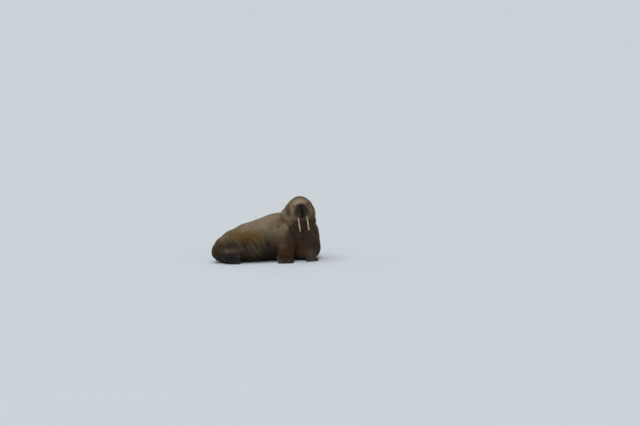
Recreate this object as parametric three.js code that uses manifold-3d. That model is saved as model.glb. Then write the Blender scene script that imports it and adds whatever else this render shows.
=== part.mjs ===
// A walrus cow lying on the floor with its forequarters propped on the fore flippers and its head
// turned to its right, at life size. Millimetres, +Z up. The origin is on the floor under the belly,
// +X runs from the rump to the shoulders and +Y to the animal's left, away from where it looks.
import * as THREE from "three";
import { mergeVertices } from "three/addons/utils/BufferGeometryUtils.js";
import Module from "manifold-3d";

const wasm = await Module();
wasm.setup();

const GAP = 0.3; // between nodes that meet
const CARVE = 0.4; // how far a limb is cut back from the body that it grows from
const RIGHT = 1;
const LEFT = -1;
const deg = THREE.MathUtils.degToRad;
const v3 = (x, y, z) => new THREE.Vector3(x, y, z);

// The spine from rump to nape: where each section's centre is, its half width and half height.
const SPINE = [
  { at: v3(-985, -165, 194), wide: 122, tall: 142 },
  { at: v3(-908, -152, 228), wide: 194, tall: 197 },
  { at: v3(-768, -118, 272), wide: 285, tall: 278 },
  { at: v3(-560, -72, 325), wide: 358, tall: 355 },
  { at: v3(-300, -20, 360), wide: 400, tall: 415 },
  { at: v3(-40, 32, 405), wide: 410, tall: 445 },
  { at: v3(200, 84, 480), wide: 395, tall: 455 },
  { at: v3(420, 100, 560), wide: 375, tall: 400 },
  { at: v3(570, 70, 715), wide: 368, tall: 340 },
  { at: v3(655, 15, 870), wide: 338, tall: 300 },
  { at: v3(680, -45, 990), wide: 262, tall: 278 },
  { at: v3(685, -130, 1035), wide: 172, tall: 195 },
];
const SPINE_BEADS = 44; // ellipsoids strung along the spine
const BREAST = { at: v3(700, 50, 420), size: v3(365, 325, 440) }; // the fat front of the chest
const APRON = { at: v3(748, 60, 190), size: v3(318, 300, 260) }; // the foot of the breast, on the floor
const BRISKET = { at: v3(300, 70, 235), size: v3(340, 330, 270) }; // fills the chest in behind the elbows
const SHOULDER = { at: v3(440, -115, 420), size: v3(210, 235, 290) }; // over the near fore limb
const HAUNCH = { at: v3(-735, -180, 185), size: v3(225, 205, 215) }; // over the near hind limb
const FAR_HAUNCH = { at: v3(-780, 30, 170), size: v3(220, 200, 185) };

// The head's own frame: x to the animal's right, y forward along the muzzle, z up.
const HEAD = { at: v3(684, -195, 1068), yaw: deg(7), pitch: deg(3), roll: deg(6.5) };
const HEAD_LUMPS = [
  { name: "cranium", at: v3(0, -50, 20), size: v3(138, 185, 145), blend: 40 },
  { name: "brow", at: v3(0, 60, 66), size: v3(118, 112, 78), blend: 40 },
  { name: "bridge", at: v3(0, 140, 36), size: v3(86, 122, 72), blend: 40 },
  { name: "nose", at: v3(0, 224, 32), size: v3(62, 60, 60), blend: 34 },
  { name: "throat", at: v3(0, -20, -110), size: v3(135, 160, 105), blend: 60 },
];
// Lumps that come in pairs, given on the right side.
const PAIRED_LUMPS = [
  { name: "pad", at: v3(71, 214, -62), size: v3(84, 94, 112), blend: 22 },
  { name: "cheek", at: v3(94, 45, -52), size: v3(88, 130, 108), blend: 40 },
  { name: "eye mound", at: v3(106, 76, 60), size: v3(48, 58, 42), blend: 36 },
];
const BODY_BLEND = 110;
const NECK_ROLL = { high: 11, pitch: 140 }; // fat rolls round the neck

const EYE = { from: v3(60, 76, 58), way: v3(0.93, 0.3, 0.16), radius: 21, sunk: 13, lid: 8.5, opening: 12 };
const EAR = { at: v3(150, -78, 34), radius: 8 };
const NOSTRIL = { from: v3(20, 200, 48), way: v3(0.1, 1, 0.3), long: 19, wide: 6, deep: 22, bow: 8 };
const JAW = { at: v3(0, 168, -150), size: v3(62, 84, 62) }; // lower jaw, between the tusks
const TUSK = { at: v3(88, 214, -110), long: 345, wide: 17, deep: 22, lean: deg(9), sweep: deg(15) };

const WHISKER = { rows: 6, perRow: 5, thick: 2.1, short: 42, long: 105, root: 14 };

// Grid cells of the faceted flesh.
const BODY_CELL = 80;
const NECK_CELL = 35;
const NECK_STRETCH = 1.9; // the neck's cells are wider than they are tall, as its rolls are
const SKULL_CELL = 36;
const MUZZLE_CELL = 21;

// Where the whole body is parted: a point on each cut and the way forward across it.
const CUTS = {
  hips: { at: v3(-560, -72, 325), forward: v3(1, 0.15, 0.1) },
  chest: { at: v3(215, 84, 480), forward: v3(1, 0, 0.35) },
  neck: { at: v3(590, 25, 740), forward: v3(0.35, -0.42, 0.84) },
  head: { at: v3(676, -140, 930), forward: v3(0.06, -0.62, 0.78) },
  muzzle: 128, // how far forward of the eyes' middle the muzzle begins, in the head's frame
};

// Limbs: a stalk from inside the trunk to the wrist, whose last station lies inside the web of
// the flipper, then a fan of five digits spread about a pole behind the wrist.
const FORE_RIGHT = {
  stalk: [
    { at: v3(424, -170, 420), wide: 156, thick: 135 },
    { at: v3(392, -282, 285), wide: 168, thick: 108 },
    { at: v3(374, -330, 165), wide: 174, thick: 82 },
    { at: v3(364, -350, 90), wide: 172, thick: 58 },
    { at: v3(362, -392, 42), wide: 156, thick: 32 },
    { at: v3(372, -460, 25), wide: 110, thick: 12 },
  ],
  across: v3(1, 0.1, 0),
  wrist: v3(358, -364, 37),
  along: v3(0.12, -0.98, -0.12),
  thumb: v3(0.98, 0.12, 0),
  spread: deg(17),
  reach: 215,
  longest: "first",
};
const FORE_LEFT = {
  stalk: [
    { at: v3(730, 10, 330), wide: 150, thick: 130 },
    { at: v3(795, -96, 240), wide: 142, thick: 112 },
    { at: v3(838, -160, 165), wide: 134, thick: 92 },
    { at: v3(866, -196, 100), wide: 126, thick: 66 },
    { at: v3(880, -236, 48), wide: 110, thick: 36 },
    { at: v3(892, -292, 25), wide: 80, thick: 12 },
  ],
  across: v3(-0.96, -0.25, 0),
  wrist: v3(874, -212, 40),
  along: v3(0.25, -0.95, -0.15),
  thumb: v3(-0.95, -0.25, 0),
  spread: deg(15),
  reach: 190,
  longest: "first",
};
// The near hind limb is tucked forward and leans on the belly, the far one lies out on the floor.
const HIND_RIGHT = {
  stalk: [
    { at: v3(-780, -180, 175), wide: 125, thick: 95 },
    { at: v3(-838, -322, 162), wide: 122, thick: 78 },
    { at: v3(-806, -394, 154), wide: 114, thick: 60 },
    { at: v3(-750, -420, 147), wide: 102, thick: 36 },
    { at: v3(-680, -434, 139), wide: 76, thick: 12 },
  ],
  across: v3(0.1, -0.3, -1),
  wrist: v3(-772, -412, 150),
  along: v3(0.985, -0.1, -0.09),
  thumb: v3(0.03, -0.34, -0.94),
  spread: deg(16),
  reach: 300,
  longest: "outer",
};
const HIND_LEFT = {
  stalk: [
    { at: v3(-810, 10, 140), wide: 105, thick: 84 },
    { at: v3(-830, 110, 96), wide: 100, thick: 64 },
    { at: v3(-838, 180, 58), wide: 92, thick: 44 },
    { at: v3(-840, 240, 34), wide: 80, thick: 26 },
    { at: v3(-840, 300, 24), wide: 60, thick: 12 },
  ],
  across: v3(1, 0.1, 0),
  wrist: v3(-838, 205, 36),
  along: v3(0.05, 0.99, -0.09),
  thumb: v3(-1, 0.05, 0),
  spread: deg(15),
  reach: 290,
  longest: "outer",
};
const FAN = { pole: 400, digits: 5, web: 0.78, notch: 0.1, corner: 0.13, root: 36, tip: 12, heel: 40 };
const CLAW = { from: 0.8, to: 0.97, wide: 7, rise: 3 };
const TAIL = [
  { at: v3(-880, -150, 120), wide: 62, thick: 40 },
  { at: v3(-968, -165, 84), wide: 56, thick: 30 },
  { at: v3(-1004, -170, 60), wide: 40, thick: 20 },
];

const COLOURS = {
  hide: "#6b543c",
  darkHide: "#3f3228",
  muzzle: "#4a4038",
  flipper: "#3a2f28",
  ivory: "#d9cfbb",
  eye: "#1b1411",
};

// Distance fields. Each is a function of a point, negative inside.

function smoothMin(a, b, blend) {
  const h = Math.max(blend - Math.abs(a - b), 0) / blend;
  return Math.min(a, b) - (h * h * blend) / 4;
}

// An ellipsoid whose half sizes lie along the axes of a frame.
function ellipsoid(at, size, frame) {
  const inverse = frame ? frame.clone().invert() : null;
  const q = v3();
  return (p) => {
    q.copy(p).sub(at);
    if (inverse) q.applyMatrix4(inverse);
    const k0 = Math.hypot(q.x / size.x, q.y / size.y, q.z / size.z);
    const k1 = Math.hypot(q.x / size.x ** 2, q.y / size.y ** 2, q.z / size.z ** 2);
    return k1 > 0 ? (k0 * (k0 - 1)) / k1 : -Math.min(size.x, size.y, size.z);
  };
}

// A frame whose y axis runs along and whose z axis is as near as it can be to up.
function frameAlong(along, up) {
  const y = along.clone().normalize();
  const x = v3().crossVectors(y, up).normalize();
  return new THREE.Matrix4().makeBasis(x, y, v3().crossVectors(x, y));
}

// A size read between the stations of a path, smoothly.
function between(stations, key, t) {
  const place = t * (stations.length - 1);
  const i = Math.min(Math.floor(place), stations.length - 2);
  const value = (j) => stations[THREE.MathUtils.clamp(j, 0, stations.length - 1)][key];
  return THREE.MathUtils.lerp(value(i), value(i + 1), THREE.MathUtils.smoothstep(place - i, 0, 1));
}

const spineCurve = new THREE.CatmullRomCurve3(SPINE.map((s) => s.at), false, "centripetal");

function spineField() {
  const beads = [];
  for (let i = 0; i < SPINE_BEADS; i += 1) {
    const t = i / (SPINE_BEADS - 1);
    const wide = between(SPINE, "wide", t);
    const tall = between(SPINE, "tall", t);
    const frame = frameAlong(spineCurve.getTangent(t), v3(0, 0.5, 1));
    beads.push(ellipsoid(spineCurve.getPoint(t), v3(wide, (wide + tall) / 2, tall), frame));
  }
  return (p) => beads.reduce((least, bead) => Math.min(least, bead(p)), Infinity);
}

const headFrame = new THREE.Matrix4();
{
  const { yaw, pitch, roll } = HEAD;
  const forward = v3(Math.sin(yaw) * Math.cos(pitch), -Math.cos(yaw) * Math.cos(pitch), Math.sin(pitch));
  const level = v3(-Math.cos(yaw), -Math.sin(yaw), 0);
  const upright = v3().crossVectors(level, forward);
  const right = level.clone().multiplyScalar(Math.cos(roll)).addScaledVector(upright, -Math.sin(roll));
  headFrame.makeBasis(right, forward, v3().crossVectors(right, forward)).setPosition(HEAD.at);
}
const headInverse = headFrame.clone().invert();
const onHead = (x, y, z) => v3(x, y, z).applyMatrix4(headFrame);

function headField() {
  const [single, paired] = [HEAD_LUMPS, PAIRED_LUMPS].map((lumps) =>
    lumps.map((lump) => ({ field: ellipsoid(lump.at, lump.size), blend: lump.blend })));
  const q = v3();
  return (p) => {
    q.copy(p).applyMatrix4(headInverse);
    let least = single.reduce((d, lump) => smoothMin(d, lump.field(q), lump.blend), 1e6);
    q.x = Math.abs(q.x);
    for (const lump of paired) least = smoothMin(least, lump.field(q), lump.blend);
    return least;
  };
}

const spine = spineField();
const head = headField();
const mounds = [BREAST, APRON, BRISKET, SHOULDER, HAUNCH, FAR_HAUNCH].map((m) => ellipsoid(m.at, m.size));
const neckAxis = v3(0.3, -0.45, 0.84).normalize();

// Low rolls of fat round the neck, fading out towards the head and the chest.
function neckRoll(p) {
  const along = v3().subVectors(p, CUTS.neck.at).dot(neckAxis);
  const fade = THREE.MathUtils.smoothstep(along, -60, 40) * (1 - THREE.MathUtils.smoothstep(along, 190, 300));
  return NECK_ROLL.high * fade * Math.cos((2 * Math.PI * along) / NECK_ROLL.pitch);
}

function flesh(p) {
  let least = spine(p);
  for (const mound of mounds) least = smoothMin(least, mound(p), BODY_BLEND);
  return smoothMin(least, head(p), BODY_BLEND * 0.8) - neckRoll(p);
}

// A closed surface where a field changes sign, one point in each grid cell that it crosses, each
// then moved onto the surface. The box is given in the frame that the grid lies in, and its sides
// close the surface where the field is still inside there.
function netOf(field, frame, low, high, cell) {
  const count = ["x", "y", "z"].map((k) => Math.ceil((high[k] - low[k]) / cell) + 1);
  const [nx, ny, nz] = count;
  const index = (i, j, k) => i + nx * (j + ny * k);
  const place = (x, y, z) => v3(x, y, z).multiplyScalar(cell).add(low).applyMatrix4(frame);
  const value = new Float64Array(nx * ny * nz);
  for (let k = 0; k < nz; k += 1)
    for (let j = 0; j < ny; j += 1)
      for (let i = 0; i < nx; i += 1) {
        const border = [i, j, k].some((n, axis) => n === 0 || n === count[axis] - 1);
        const here = field(place(i, j, k));
        value[index(i, j, k)] = border ? Math.max(here, cell / 2) : here;
      }
  const points = [];
  const pointOf = new Map();
  const corners = [0, 1, 2, 3, 4, 5, 6, 7].map((n) => [n & 1, (n >> 1) & 1, n >> 2]);
  const apart = (a, b) => a.filter((n, axis) => n !== b[axis]).length;
  const pairs = corners.flatMap((a, m) => corners.slice(m + 1).map((b) => [a, b]));
  const edges = pairs.filter(([a, b]) => apart(a, b) === 1);
  for (let k = 0; k < nz - 1; k += 1)
    for (let j = 0; j < ny - 1; j += 1)
      for (let i = 0; i < nx - 1; i += 1) {
        const sum = v3();
        let crossings = 0;
        for (const [a, b] of edges) {
          const from = value[index(i + a[0], j + a[1], k + a[2])];
          const to = value[index(i + b[0], j + b[1], k + b[2])];
          if (from < 0 === to < 0) continue;
          sum.add(v3(...a).lerp(v3(...b), from / (from - to)));
          crossings += 1;
        }
        if (!crossings) continue;
        sum.divideScalar(crossings).add(v3(i, j, k));
        pointOf.set(index(i, j, k), points.length);
        points.push(settle(place(sum.x, sum.y, sum.z), field, cell));
      }
  const faces = [];
  const steps = [[1, 0, 0], [0, 1, 0], [0, 0, 1]];
  for (let k = 0; k < nz - 1; k += 1)
    for (let j = 0; j < ny - 1; j += 1)
      for (let i = 0; i < nx - 1; i += 1)
        steps.forEach((step, axis) => {
          const from = value[index(i, j, k)];
          const to = value[index(i + step[0], j + step[1], k + step[2])];
          if (from < 0 === to < 0) return;
          const back = index(...steps[(axis + 1) % 3]);
          const down = index(...steps[(axis + 2) % 3]);
          const here = index(i, j, k);
          const ring = [here, here - back, here - back - down, here - down].map((n) => pointOf.get(n));
          if (from >= 0) ring.reverse();
          const across = (m, n) => points[ring[m]].distanceTo(points[ring[n]]);
          const [a, b, c, d] = ring;
          if (across(0, 2) < across(1, 3)) faces.push(a, b, c, a, c, d);
          else faces.push(a, b, d, b, c, d);
        });
  return { points, faces };
}

// A net's solid, with its surface moved out along the field's slope.
function solidOfNet(net, field, out = 0) {
  const points = net.points.map((p) => p.clone().addScaledVector(slopeOf(field, p).normalize(), out));
  return solid(points, net.faces);
}

function slopeOf(field, p, step = 1) {
  const here = field(p);
  return v3(
    field(p.clone().setX(p.x + step)) - here,
    field(p.clone().setY(p.y + step)) - here,
    field(p.clone().setZ(p.z + step)) - here,
  ).divideScalar(step);
}

// Moves a point onto a field's surface along its slope, but not further than a share of a cell.
function settle(p, field, cell) {
  for (let n = 0; n < 3; n += 1) {
    const here = field(p);
    if (Math.abs(here) > cell) return p;
    const slope = slopeOf(field, p);
    p.addScaledVector(slope, -THREE.MathUtils.clamp(here / slope.lengthSq(), -cell / 4, cell / 4));
  }
  return p;
}

// Solids.

function solid(points, faces) {
  const vertProperties = new Float32Array(points.flatMap((p) => [p.x, p.y, p.z]));
  const triVerts = new Uint32Array(faces);
  return new wasm.Manifold(new wasm.Mesh({ numProp: 3, vertProperties, triVerts }));
}

function solidOf(geometry) {
  const bare = geometry.clone();
  bare.deleteAttribute("normal");
  bare.deleteAttribute("uv");
  const merged = mergeVertices(bare, 1e-3);
  const vertProperties = merged.attributes.position.array;
  const triVerts = new Uint32Array(merged.index.array);
  return new wasm.Manifold(new wasm.Mesh({ numProp: 3, vertProperties, triVerts }));
}

// A solid of faces that all turn the same way, in or out.
function outward(points, faces) {
  const made = solid(points, faces);
  return made.volume() > 0 ? made : solid(points, faces.map((_, n) => faces[n + 2 - 2 * (n % 3)]));
}

// A closed body through rings of points, with a flat cap at each end.
function loft(rings) {
  const sides = rings[0].length;
  const points = rings.flat();
  const faces = [];
  for (let r = 0; r < rings.length - 1; r += 1)
    for (let s = 0; s < sides; s += 1) {
      const [a, b] = [r * sides + s, r * sides + ((s + 1) % sides)];
      faces.push(a, b, b + sides, a, b + sides, a + sides);
    }
  const last = (rings.length - 1) * sides;
  for (let s = 1; s < sides - 1; s += 1) faces.push(0, s + 1, s, last, last + s, last + s + 1);
  return outward(points, faces);
}

// An oval ring round a point, across and deep being its half axes as vectors.
function oval(centre, across, deep, sides) {
  return Array.from({ length: sides }, (_, s) => {
    const turn = (2 * Math.PI * s) / sides;
    return centre.clone().addScaledVector(across, Math.cos(turn)).addScaledVector(deep, Math.sin(turn));
  });
}

// A limb's fleshy stalk through its stations.
function stalk(stations, across, sides = 14, count = 7) {
  const curve = new THREE.CatmullRomCurve3(stations.map((s) => s.at), false, "centripetal");
  const rings = [];
  for (let n = 0; n < count; n += 1) {
    const t = n / (count - 1);
    const along = curve.getTangent(t);
    const side = across.clone().addScaledVector(along, -across.dot(along)).normalize();
    const deep = v3().crossVectors(along, side);
    const wide = between(stations, "wide", t);
    const thick = between(stations, "thick", t);
    rings.push(oval(curve.getPoint(t), side.multiplyScalar(wide), deep.multiplyScalar(thick), sides));
  }
  return loft(rings);
}

// How far a fan of digits reaches at a place across it, from -1 to 1, with the first digit at 1.
function fanReach(across, shape) {
  const lobe = Math.abs(Math.sin((Math.PI * FAN.digits * (across + 1)) / 2));
  const length = shape.longest === "first" ? 0.9 + 0.1 * across : 0.86 + 0.14 * across ** 2;
  const rounded = 1 - FAN.corner * across ** 8;
  return shape.reach * length * rounded * (1 - FAN.notch * (1 - lobe) ** 1.5);
}

// A flipper's own directions: along it, towards the first digit, and out of its back.
function fanAxes(shape) {
  const along = shape.along.clone().normalize();
  const thumb = shape.thumb.clone().addScaledVector(along, -shape.thumb.dot(along)).normalize();
  const back = v3().crossVectors(thumb, along);
  return { along, thumb, back: back.z < 0 ? back.negate() : back };
}

// A place on a flipper: how far across and out, and how much of its half thickness off the middle.
function fanPoint(shape, across, out, side) {
  const { along, thumb, back } = fanAxes(shape);
  const turn = across * shape.spread;
  const reach = FAN.pole + THREE.MathUtils.lerp(-FAN.heel, fanReach(across, shape), out);
  const digit = Math.abs(Math.sin((Math.PI * FAN.digits * (across + 1)) / 2));
  const ridge = FAN.web + (1 - FAN.web) * THREE.MathUtils.lerp(1, digit, Math.min(out * 2, 1));
  const rim = Math.sqrt(Math.max(1 - across ** 8, 0)) * Math.sqrt(Math.max(1 - out ** 6, 0));
  const half = THREE.MathUtils.lerp(FAN.root, FAN.tip, out ** 0.7) * ridge * rim;
  return shape.wrist.clone()
    .addScaledVector(along, reach * Math.cos(turn) - FAN.pole)
    .addScaledVector(thumb, reach * Math.sin(turn))
    .addScaledVector(back, side * half);
}

// The web and digits of a flipper: two skins that meet round the rim, closed by a strip at the heel.
function fan(shape) {
  const across = FAN.digits * 4;
  const rows = 5;
  const points = [];
  const place = new Map();
  const number = (i, j, side) => {
    const lift = i === 0 || i === across || j === rows ? 0 : side;
    const key = `${i},${j},${lift}`;
    if (!place.has(key)) {
      place.set(key, points.length);
      points.push(fanPoint(shape, (2 * i) / across - 1, j / rows, lift));
    }
    return place.get(key);
  };
  const faces = [];
  const quad = (a, b, c, d) => {
    for (const face of [[a, b, c], [a, c, d]]) if (new Set(face).size === 3) faces.push(...face);
  };
  for (let i = 0; i < across; i += 1) {
    quad(number(i, 0, 1), number(i, 0, -1), number(i + 1, 0, -1), number(i + 1, 0, 1));
    for (let j = 0; j < rows; j += 1) {
      quad(number(i, j, 1), number(i + 1, j, 1), number(i + 1, j + 1, 1), number(i, j + 1, 1));
      quad(number(i, j + 1, -1), number(i + 1, j + 1, -1), number(i + 1, j, -1), number(i, j, -1));
    }
  }
  return outward(points, faces);
}

// A nail on the back of each digit, near its end.
function claws(shape) {
  const { thumb, back } = fanAxes(shape);
  return Array.from({ length: FAN.digits }, (_, digit) => {
    const across = (2 * (digit + 0.5)) / FAN.digits - 1;
    const rings = [0, 0.5, 1].map((t) => {
      const out = THREE.MathUtils.lerp(CLAW.from, CLAW.to, t);
      const centre = fanPoint(shape, across, out, 0.8).addScaledVector(back, CLAW.rise * t);
      const size = CLAW.wide * Math.sqrt(1.06 - t);
      return oval(centre, thumb.clone().multiplyScalar(size), back.clone().multiplyScalar(size), 5);
    });
    return loft(rings);
  });
}

const FLOOR = [v3(0, 0, 1), 0];
const trim = (made, normal, offset) => made.trimByPlane(normal.toArray(), offset);

// Keeps what lies ahead of a cut, or behind it, half a gap away.
function ahead(made, cut) {
  const normal = cut.forward.clone().normalize();
  return trim(made, normal, normal.dot(cut.at) + GAP / 2);
}
function behind(made, cut) {
  const normal = cut.forward.clone().normalize().negate();
  return trim(made, normal, normal.dot(cut.at) + GAP / 2);
}

// Only the largest closed surface of a result.
function largest(made) {
  return made.decompose().reduce((a, b) => (a.volume() > b.volume() ? a : b));
}

function materialOf(colour, roughness) {
  return new THREE.MeshStandardMaterial({ color: colour, roughness, metalness: 0 });
}

const walrus = new THREE.Group();
walrus.name = "walrus";

function add(name, made, colour, roughness = 0.7) {
  const mesh = largest(made).getMesh();
  const geometry = new THREE.BufferGeometry();
  geometry.setAttribute("position", new THREE.BufferAttribute(mesh.vertProperties, 3));
  geometry.setIndex(new THREE.BufferAttribute(mesh.triVerts, 1));
  geometry.computeVertexNormals();
  const node = new THREE.Mesh(geometry, materialOf(colour, roughness));
  node.name = name;
  walrus.add(node);
}

// Trunk: rump to chest on one grid, parted by cuts and flattened on the floor.
const WORLD = new THREE.Matrix4();
const trunkNet = netOf(flesh, WORLD, v3(-1260, -740, -60), v3(1240, 640, 1200), BODY_CELL);
const trunk = trim(solidOfNet(trunkNet, flesh), ...FLOOR);
const trunkCarver = solidOfNet(trunkNet, flesh, CARVE);
add("hips", behind(trunk, CUTS.hips), COLOURS.hide);
add("torso", behind(ahead(trunk, CUTS.hips), CUTS.chest), COLOURS.hide);
add("chest", behind(ahead(trunk, CUTS.chest), CUTS.neck), COLOURS.hide);

// The neck's grid stands along its axis, so that each roll follows a row of cells.
const neckFrame = frameAlong(v3(0, -1, 0), neckAxis).setPosition(CUTS.neck.at);
neckFrame.scale(v3(NECK_STRETCH, NECK_STRETCH, 1));
const neckNet = netOf(flesh, neckFrame, v3(-310, -290, -330), v3(310, 290, 560), NECK_CELL);
const neck = solidOfNet(neckNet, flesh);
add("neck", behind(ahead(neck, CUTS.neck), CUTS.head), COLOURS.hide);

// Head.
const skullNet = netOf(flesh, headFrame, v3(-380, -420, -340), v3(380, 330, 240), SKULL_CELL);
const muzzleNet = netOf(flesh, headFrame, v3(-210, 60, -240), v3(210, 340, 180), MUZZLE_CELL);
const muzzleCut = { at: onHead(0, CUTS.muzzle, 0), forward: v3(0, 1, 0).transformDirection(headFrame) };
const middle = { at: HEAD.at, forward: v3(1, 0, 0).transformDirection(headFrame) };

function ball(at, size, segments = 16) {
  const place = new THREE.Matrix4().compose(at, new THREE.Quaternion(), size);
  const geometry = new THREE.SphereGeometry(1, segments, Math.round(segments * 0.7));
  return solidOf(geometry.applyMatrix4(headFrame.clone().multiply(place)));
}

// The point on the skin that is met from a place inside the head, going a certain way.
function onSkin(from, way) {
  const p = onHead(from.x, from.y, from.z);
  const step = way.clone().transformDirection(headFrame);
  for (let n = 0; n < 60; n += 1) p.addScaledVector(step, -flesh(p) * 0.8);
  return p;
}

// An eye's centre and its own directions: out of the head, along the slit and up.
function eyeAxes(side) {
  const mirrored = (v) => v3(side * v.x, v.y, v.z);
  const out = mirrored(EYE.way).transformDirection(headFrame);
  const slit = mirrored(v3(-EYE.way.y, EYE.way.x, -0.1)).transformDirection(headFrame);
  const centre = onSkin(mirrored(EYE.from), mirrored(EYE.way)).addScaledVector(out, -EYE.sunk);
  return { centre, out, slit, up: v3().crossVectors(out, slit).multiplyScalar(side) };
}

// A lid: a tube bent over the ball of the eye, above or below its opening.
function lid({ centre, out, slit, up }, above) {
  const rings = [];
  for (let n = 0; n <= 8; n += 1) {
    const turn = THREE.MathUtils.lerp(-1, 1, n / 8) * deg(84);
    const lift = above * EYE.opening * Math.cos(turn);
    const along = EYE.radius * 1.05 * Math.sin(turn);
    const height = Math.sqrt(Math.max(EYE.radius ** 2 - along ** 2 - lift ** 2, 9));
    const thick = EYE.lid * (0.5 + 0.5 * Math.cos(turn));
    const place = centre.clone().addScaledVector(slit, along).addScaledVector(up, lift);
    place.addScaledVector(out, Math.max(height, EYE.sunk));
    rings.push(oval(place, out.clone().multiplyScalar(thick), up.clone().multiplyScalar(thick), 7));
  }
  return loft(rings);
}

let skull = behind(ahead(solidOfNet(skullNet, flesh), CUTS.head), muzzleCut);
const eyes = {};
for (const [name, side] of [["right", RIGHT], ["left", LEFT]]) {
  const axes = eyeAxes(side);
  const at = axes.centre.clone().applyMatrix4(headInverse);
  const socket = ball(at, v3(1, 1, 1).multiplyScalar(EYE.radius + CARVE));
  const pit = v3(side * EAR.at.x, EAR.at.y, EAR.at.z);
  const ear = ball(pit, v3(EAR.radius * 2.4, EAR.radius, EAR.radius * 1.3), 10);
  skull = skull.add(lid(axes, 1)).add(lid(axes, -1)).subtract(socket).subtract(ear);
  eyes[name] = ball(at, v3(1, 1, 1).multiplyScalar(EYE.radius));
}
add("head", skull, COLOURS.hide);
add("eye_right", eyes.right, COLOURS.eye, 0.1);
add("eye_left", eyes.left, COLOURS.eye, 0.1);

// Bristles stand in rows over the front and side of each pad, the longest low and to the side.
function bristles(side) {
  const pad = PAIRED_LUMPS[0];
  const from = v3(side * pad.at.x, pad.at.y, pad.at.z);
  const hang = v3(side * 0.35, -0.15, -0.8).transformDirection(headFrame);
  const made = [];
  for (let row = 0; row < WHISKER.rows; row += 1)
    for (let n = 0; n < WHISKER.perRow; n += 1) {
      const low = row / (WHISKER.rows - 1);
      const out = (n + 0.5 * (row % 2)) / (WHISKER.perRow - 0.5);
      const turn = THREE.MathUtils.lerp(deg(-12), deg(80), out);
      const dip = THREE.MathUtils.lerp(deg(12), deg(-50), low);
      const way = v3(side * Math.sin(turn) * Math.cos(dip), Math.cos(turn) * Math.cos(dip), Math.sin(dip));
      const foot = onSkin(from, way);
      const length = THREE.MathUtils.lerp(WHISKER.short, WHISKER.long, 0.5 * low + 0.5 * out);
      made.push(bristle(foot, way.transformDirection(headFrame), hang, length));
    }
  return made;
}

// One bristle: a three-sided spine, rooted in the skin and bent over towards its tip.
function bristle(foot, way, hang, length) {
  const across = v3().crossVectors(way, v3(0.1, 0.2, 1)).normalize();
  const deep = v3().crossVectors(way, across);
  const rings = [0, 0.5, 1].map((t) => {
    const reach = t * (length + WHISKER.root) - WHISKER.root;
    const centre = foot.clone().addScaledVector(way, reach).addScaledVector(hang, length * 0.35 * t * t);
    const thick = WHISKER.thick * (1 - 0.72 * t);
    return oval(centre, across.clone().multiplyScalar(thick), deep.clone().multiplyScalar(thick), 3);
  });
  return loft(rings);
}

// A nostril: a crescent slit, bowed outwards.
function nostril(side) {
  const way = v3(side * NOSTRIL.way.x, NOSTRIL.way.y, NOSTRIL.way.z);
  const mouth = onSkin(v3(side * NOSTRIL.from.x, NOSTRIL.from.y, NOSTRIL.from.z), way);
  const inward = way.transformDirection(headFrame).negate();
  const level = v3(side, 0, 0).transformDirection(headFrame);
  const up = v3().crossVectors(level, inward).multiplyScalar(side);
  const rings = [-1, -0.5, 0, 0.5, 1].map((t) => {
    const wide = level.clone().multiplyScalar(NOSTRIL.wide * Math.sqrt(1.05 - t * t));
    const deep = inward.clone().multiplyScalar(NOSTRIL.deep);
    const centre = mouth.clone().addScaledVector(level, NOSTRIL.bow * (1 - t * t));
    return oval(centre.addScaledVector(up, t * NOSTRIL.long), wide, deep, 8);
  });
  return loft(rings);
}

// Tusks: an oval cone swept back along an arc.
function tusk(side, grow = 0) {
  const bend = TUSK.long / TUSK.sweep;
  const rings = [];
  for (let n = 0; n <= 9; n += 1) {
    const t = n / 9;
    const turn = t * TUSK.sweep;
    const centre = onHead(
      side * TUSK.at.x,
      TUSK.at.y + bend * (Math.cos(turn - TUSK.lean) - Math.cos(TUSK.lean)),
      TUSK.at.z - bend * (Math.sin(turn - TUSK.lean) + Math.sin(TUSK.lean)),
    );
    const size = Math.sqrt(1 - t * 0.62) * (n === 9 ? 0.45 : 1);
    const across = v3(1, 0, 0).transformDirection(headFrame).multiplyScalar(TUSK.wide * size + grow);
    const deep = v3(0, Math.cos(turn - TUSK.lean), -Math.sin(turn - TUSK.lean)).transformDirection(headFrame);
    rings.push(oval(centre, across, deep.multiplyScalar(TUSK.deep * size + grow), 12));
  }
  return loft(rings);
}

const lips = solidOfNet(muzzleNet, flesh);
const muzzle = ahead(ahead(lips, CUTS.head), muzzleCut);
const halves = { right: ahead(muzzle, middle), left: behind(muzzle, middle) };
for (const [name, side] of [["right", RIGHT], ["left", LEFT]]) {
  let half = wasm.Manifold.union([halves[name].subtract(nostril(side)), ...bristles(side)]);
  half = side === RIGHT ? ahead(half, middle) : behind(half, middle);
  half = ahead(half.subtract(tusk(side, CARVE)), muzzleCut);
  add(`muzzle_${name}`, half, COLOURS.muzzle);
  add(`tusk_${name}`, tusk(side), COLOURS.ivory, 0.35);
}
let jaw = ball(JAW.at, JAW.size, 18).subtract(solidOfNet(muzzleNet, flesh, CARVE));
jaw = ahead(jaw.subtract(lips), muzzleCut);
for (const side of [RIGHT, LEFT]) jaw = jaw.subtract(tusk(side, CARVE));
add("lower_jaw", jaw, COLOURS.muzzle);

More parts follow.
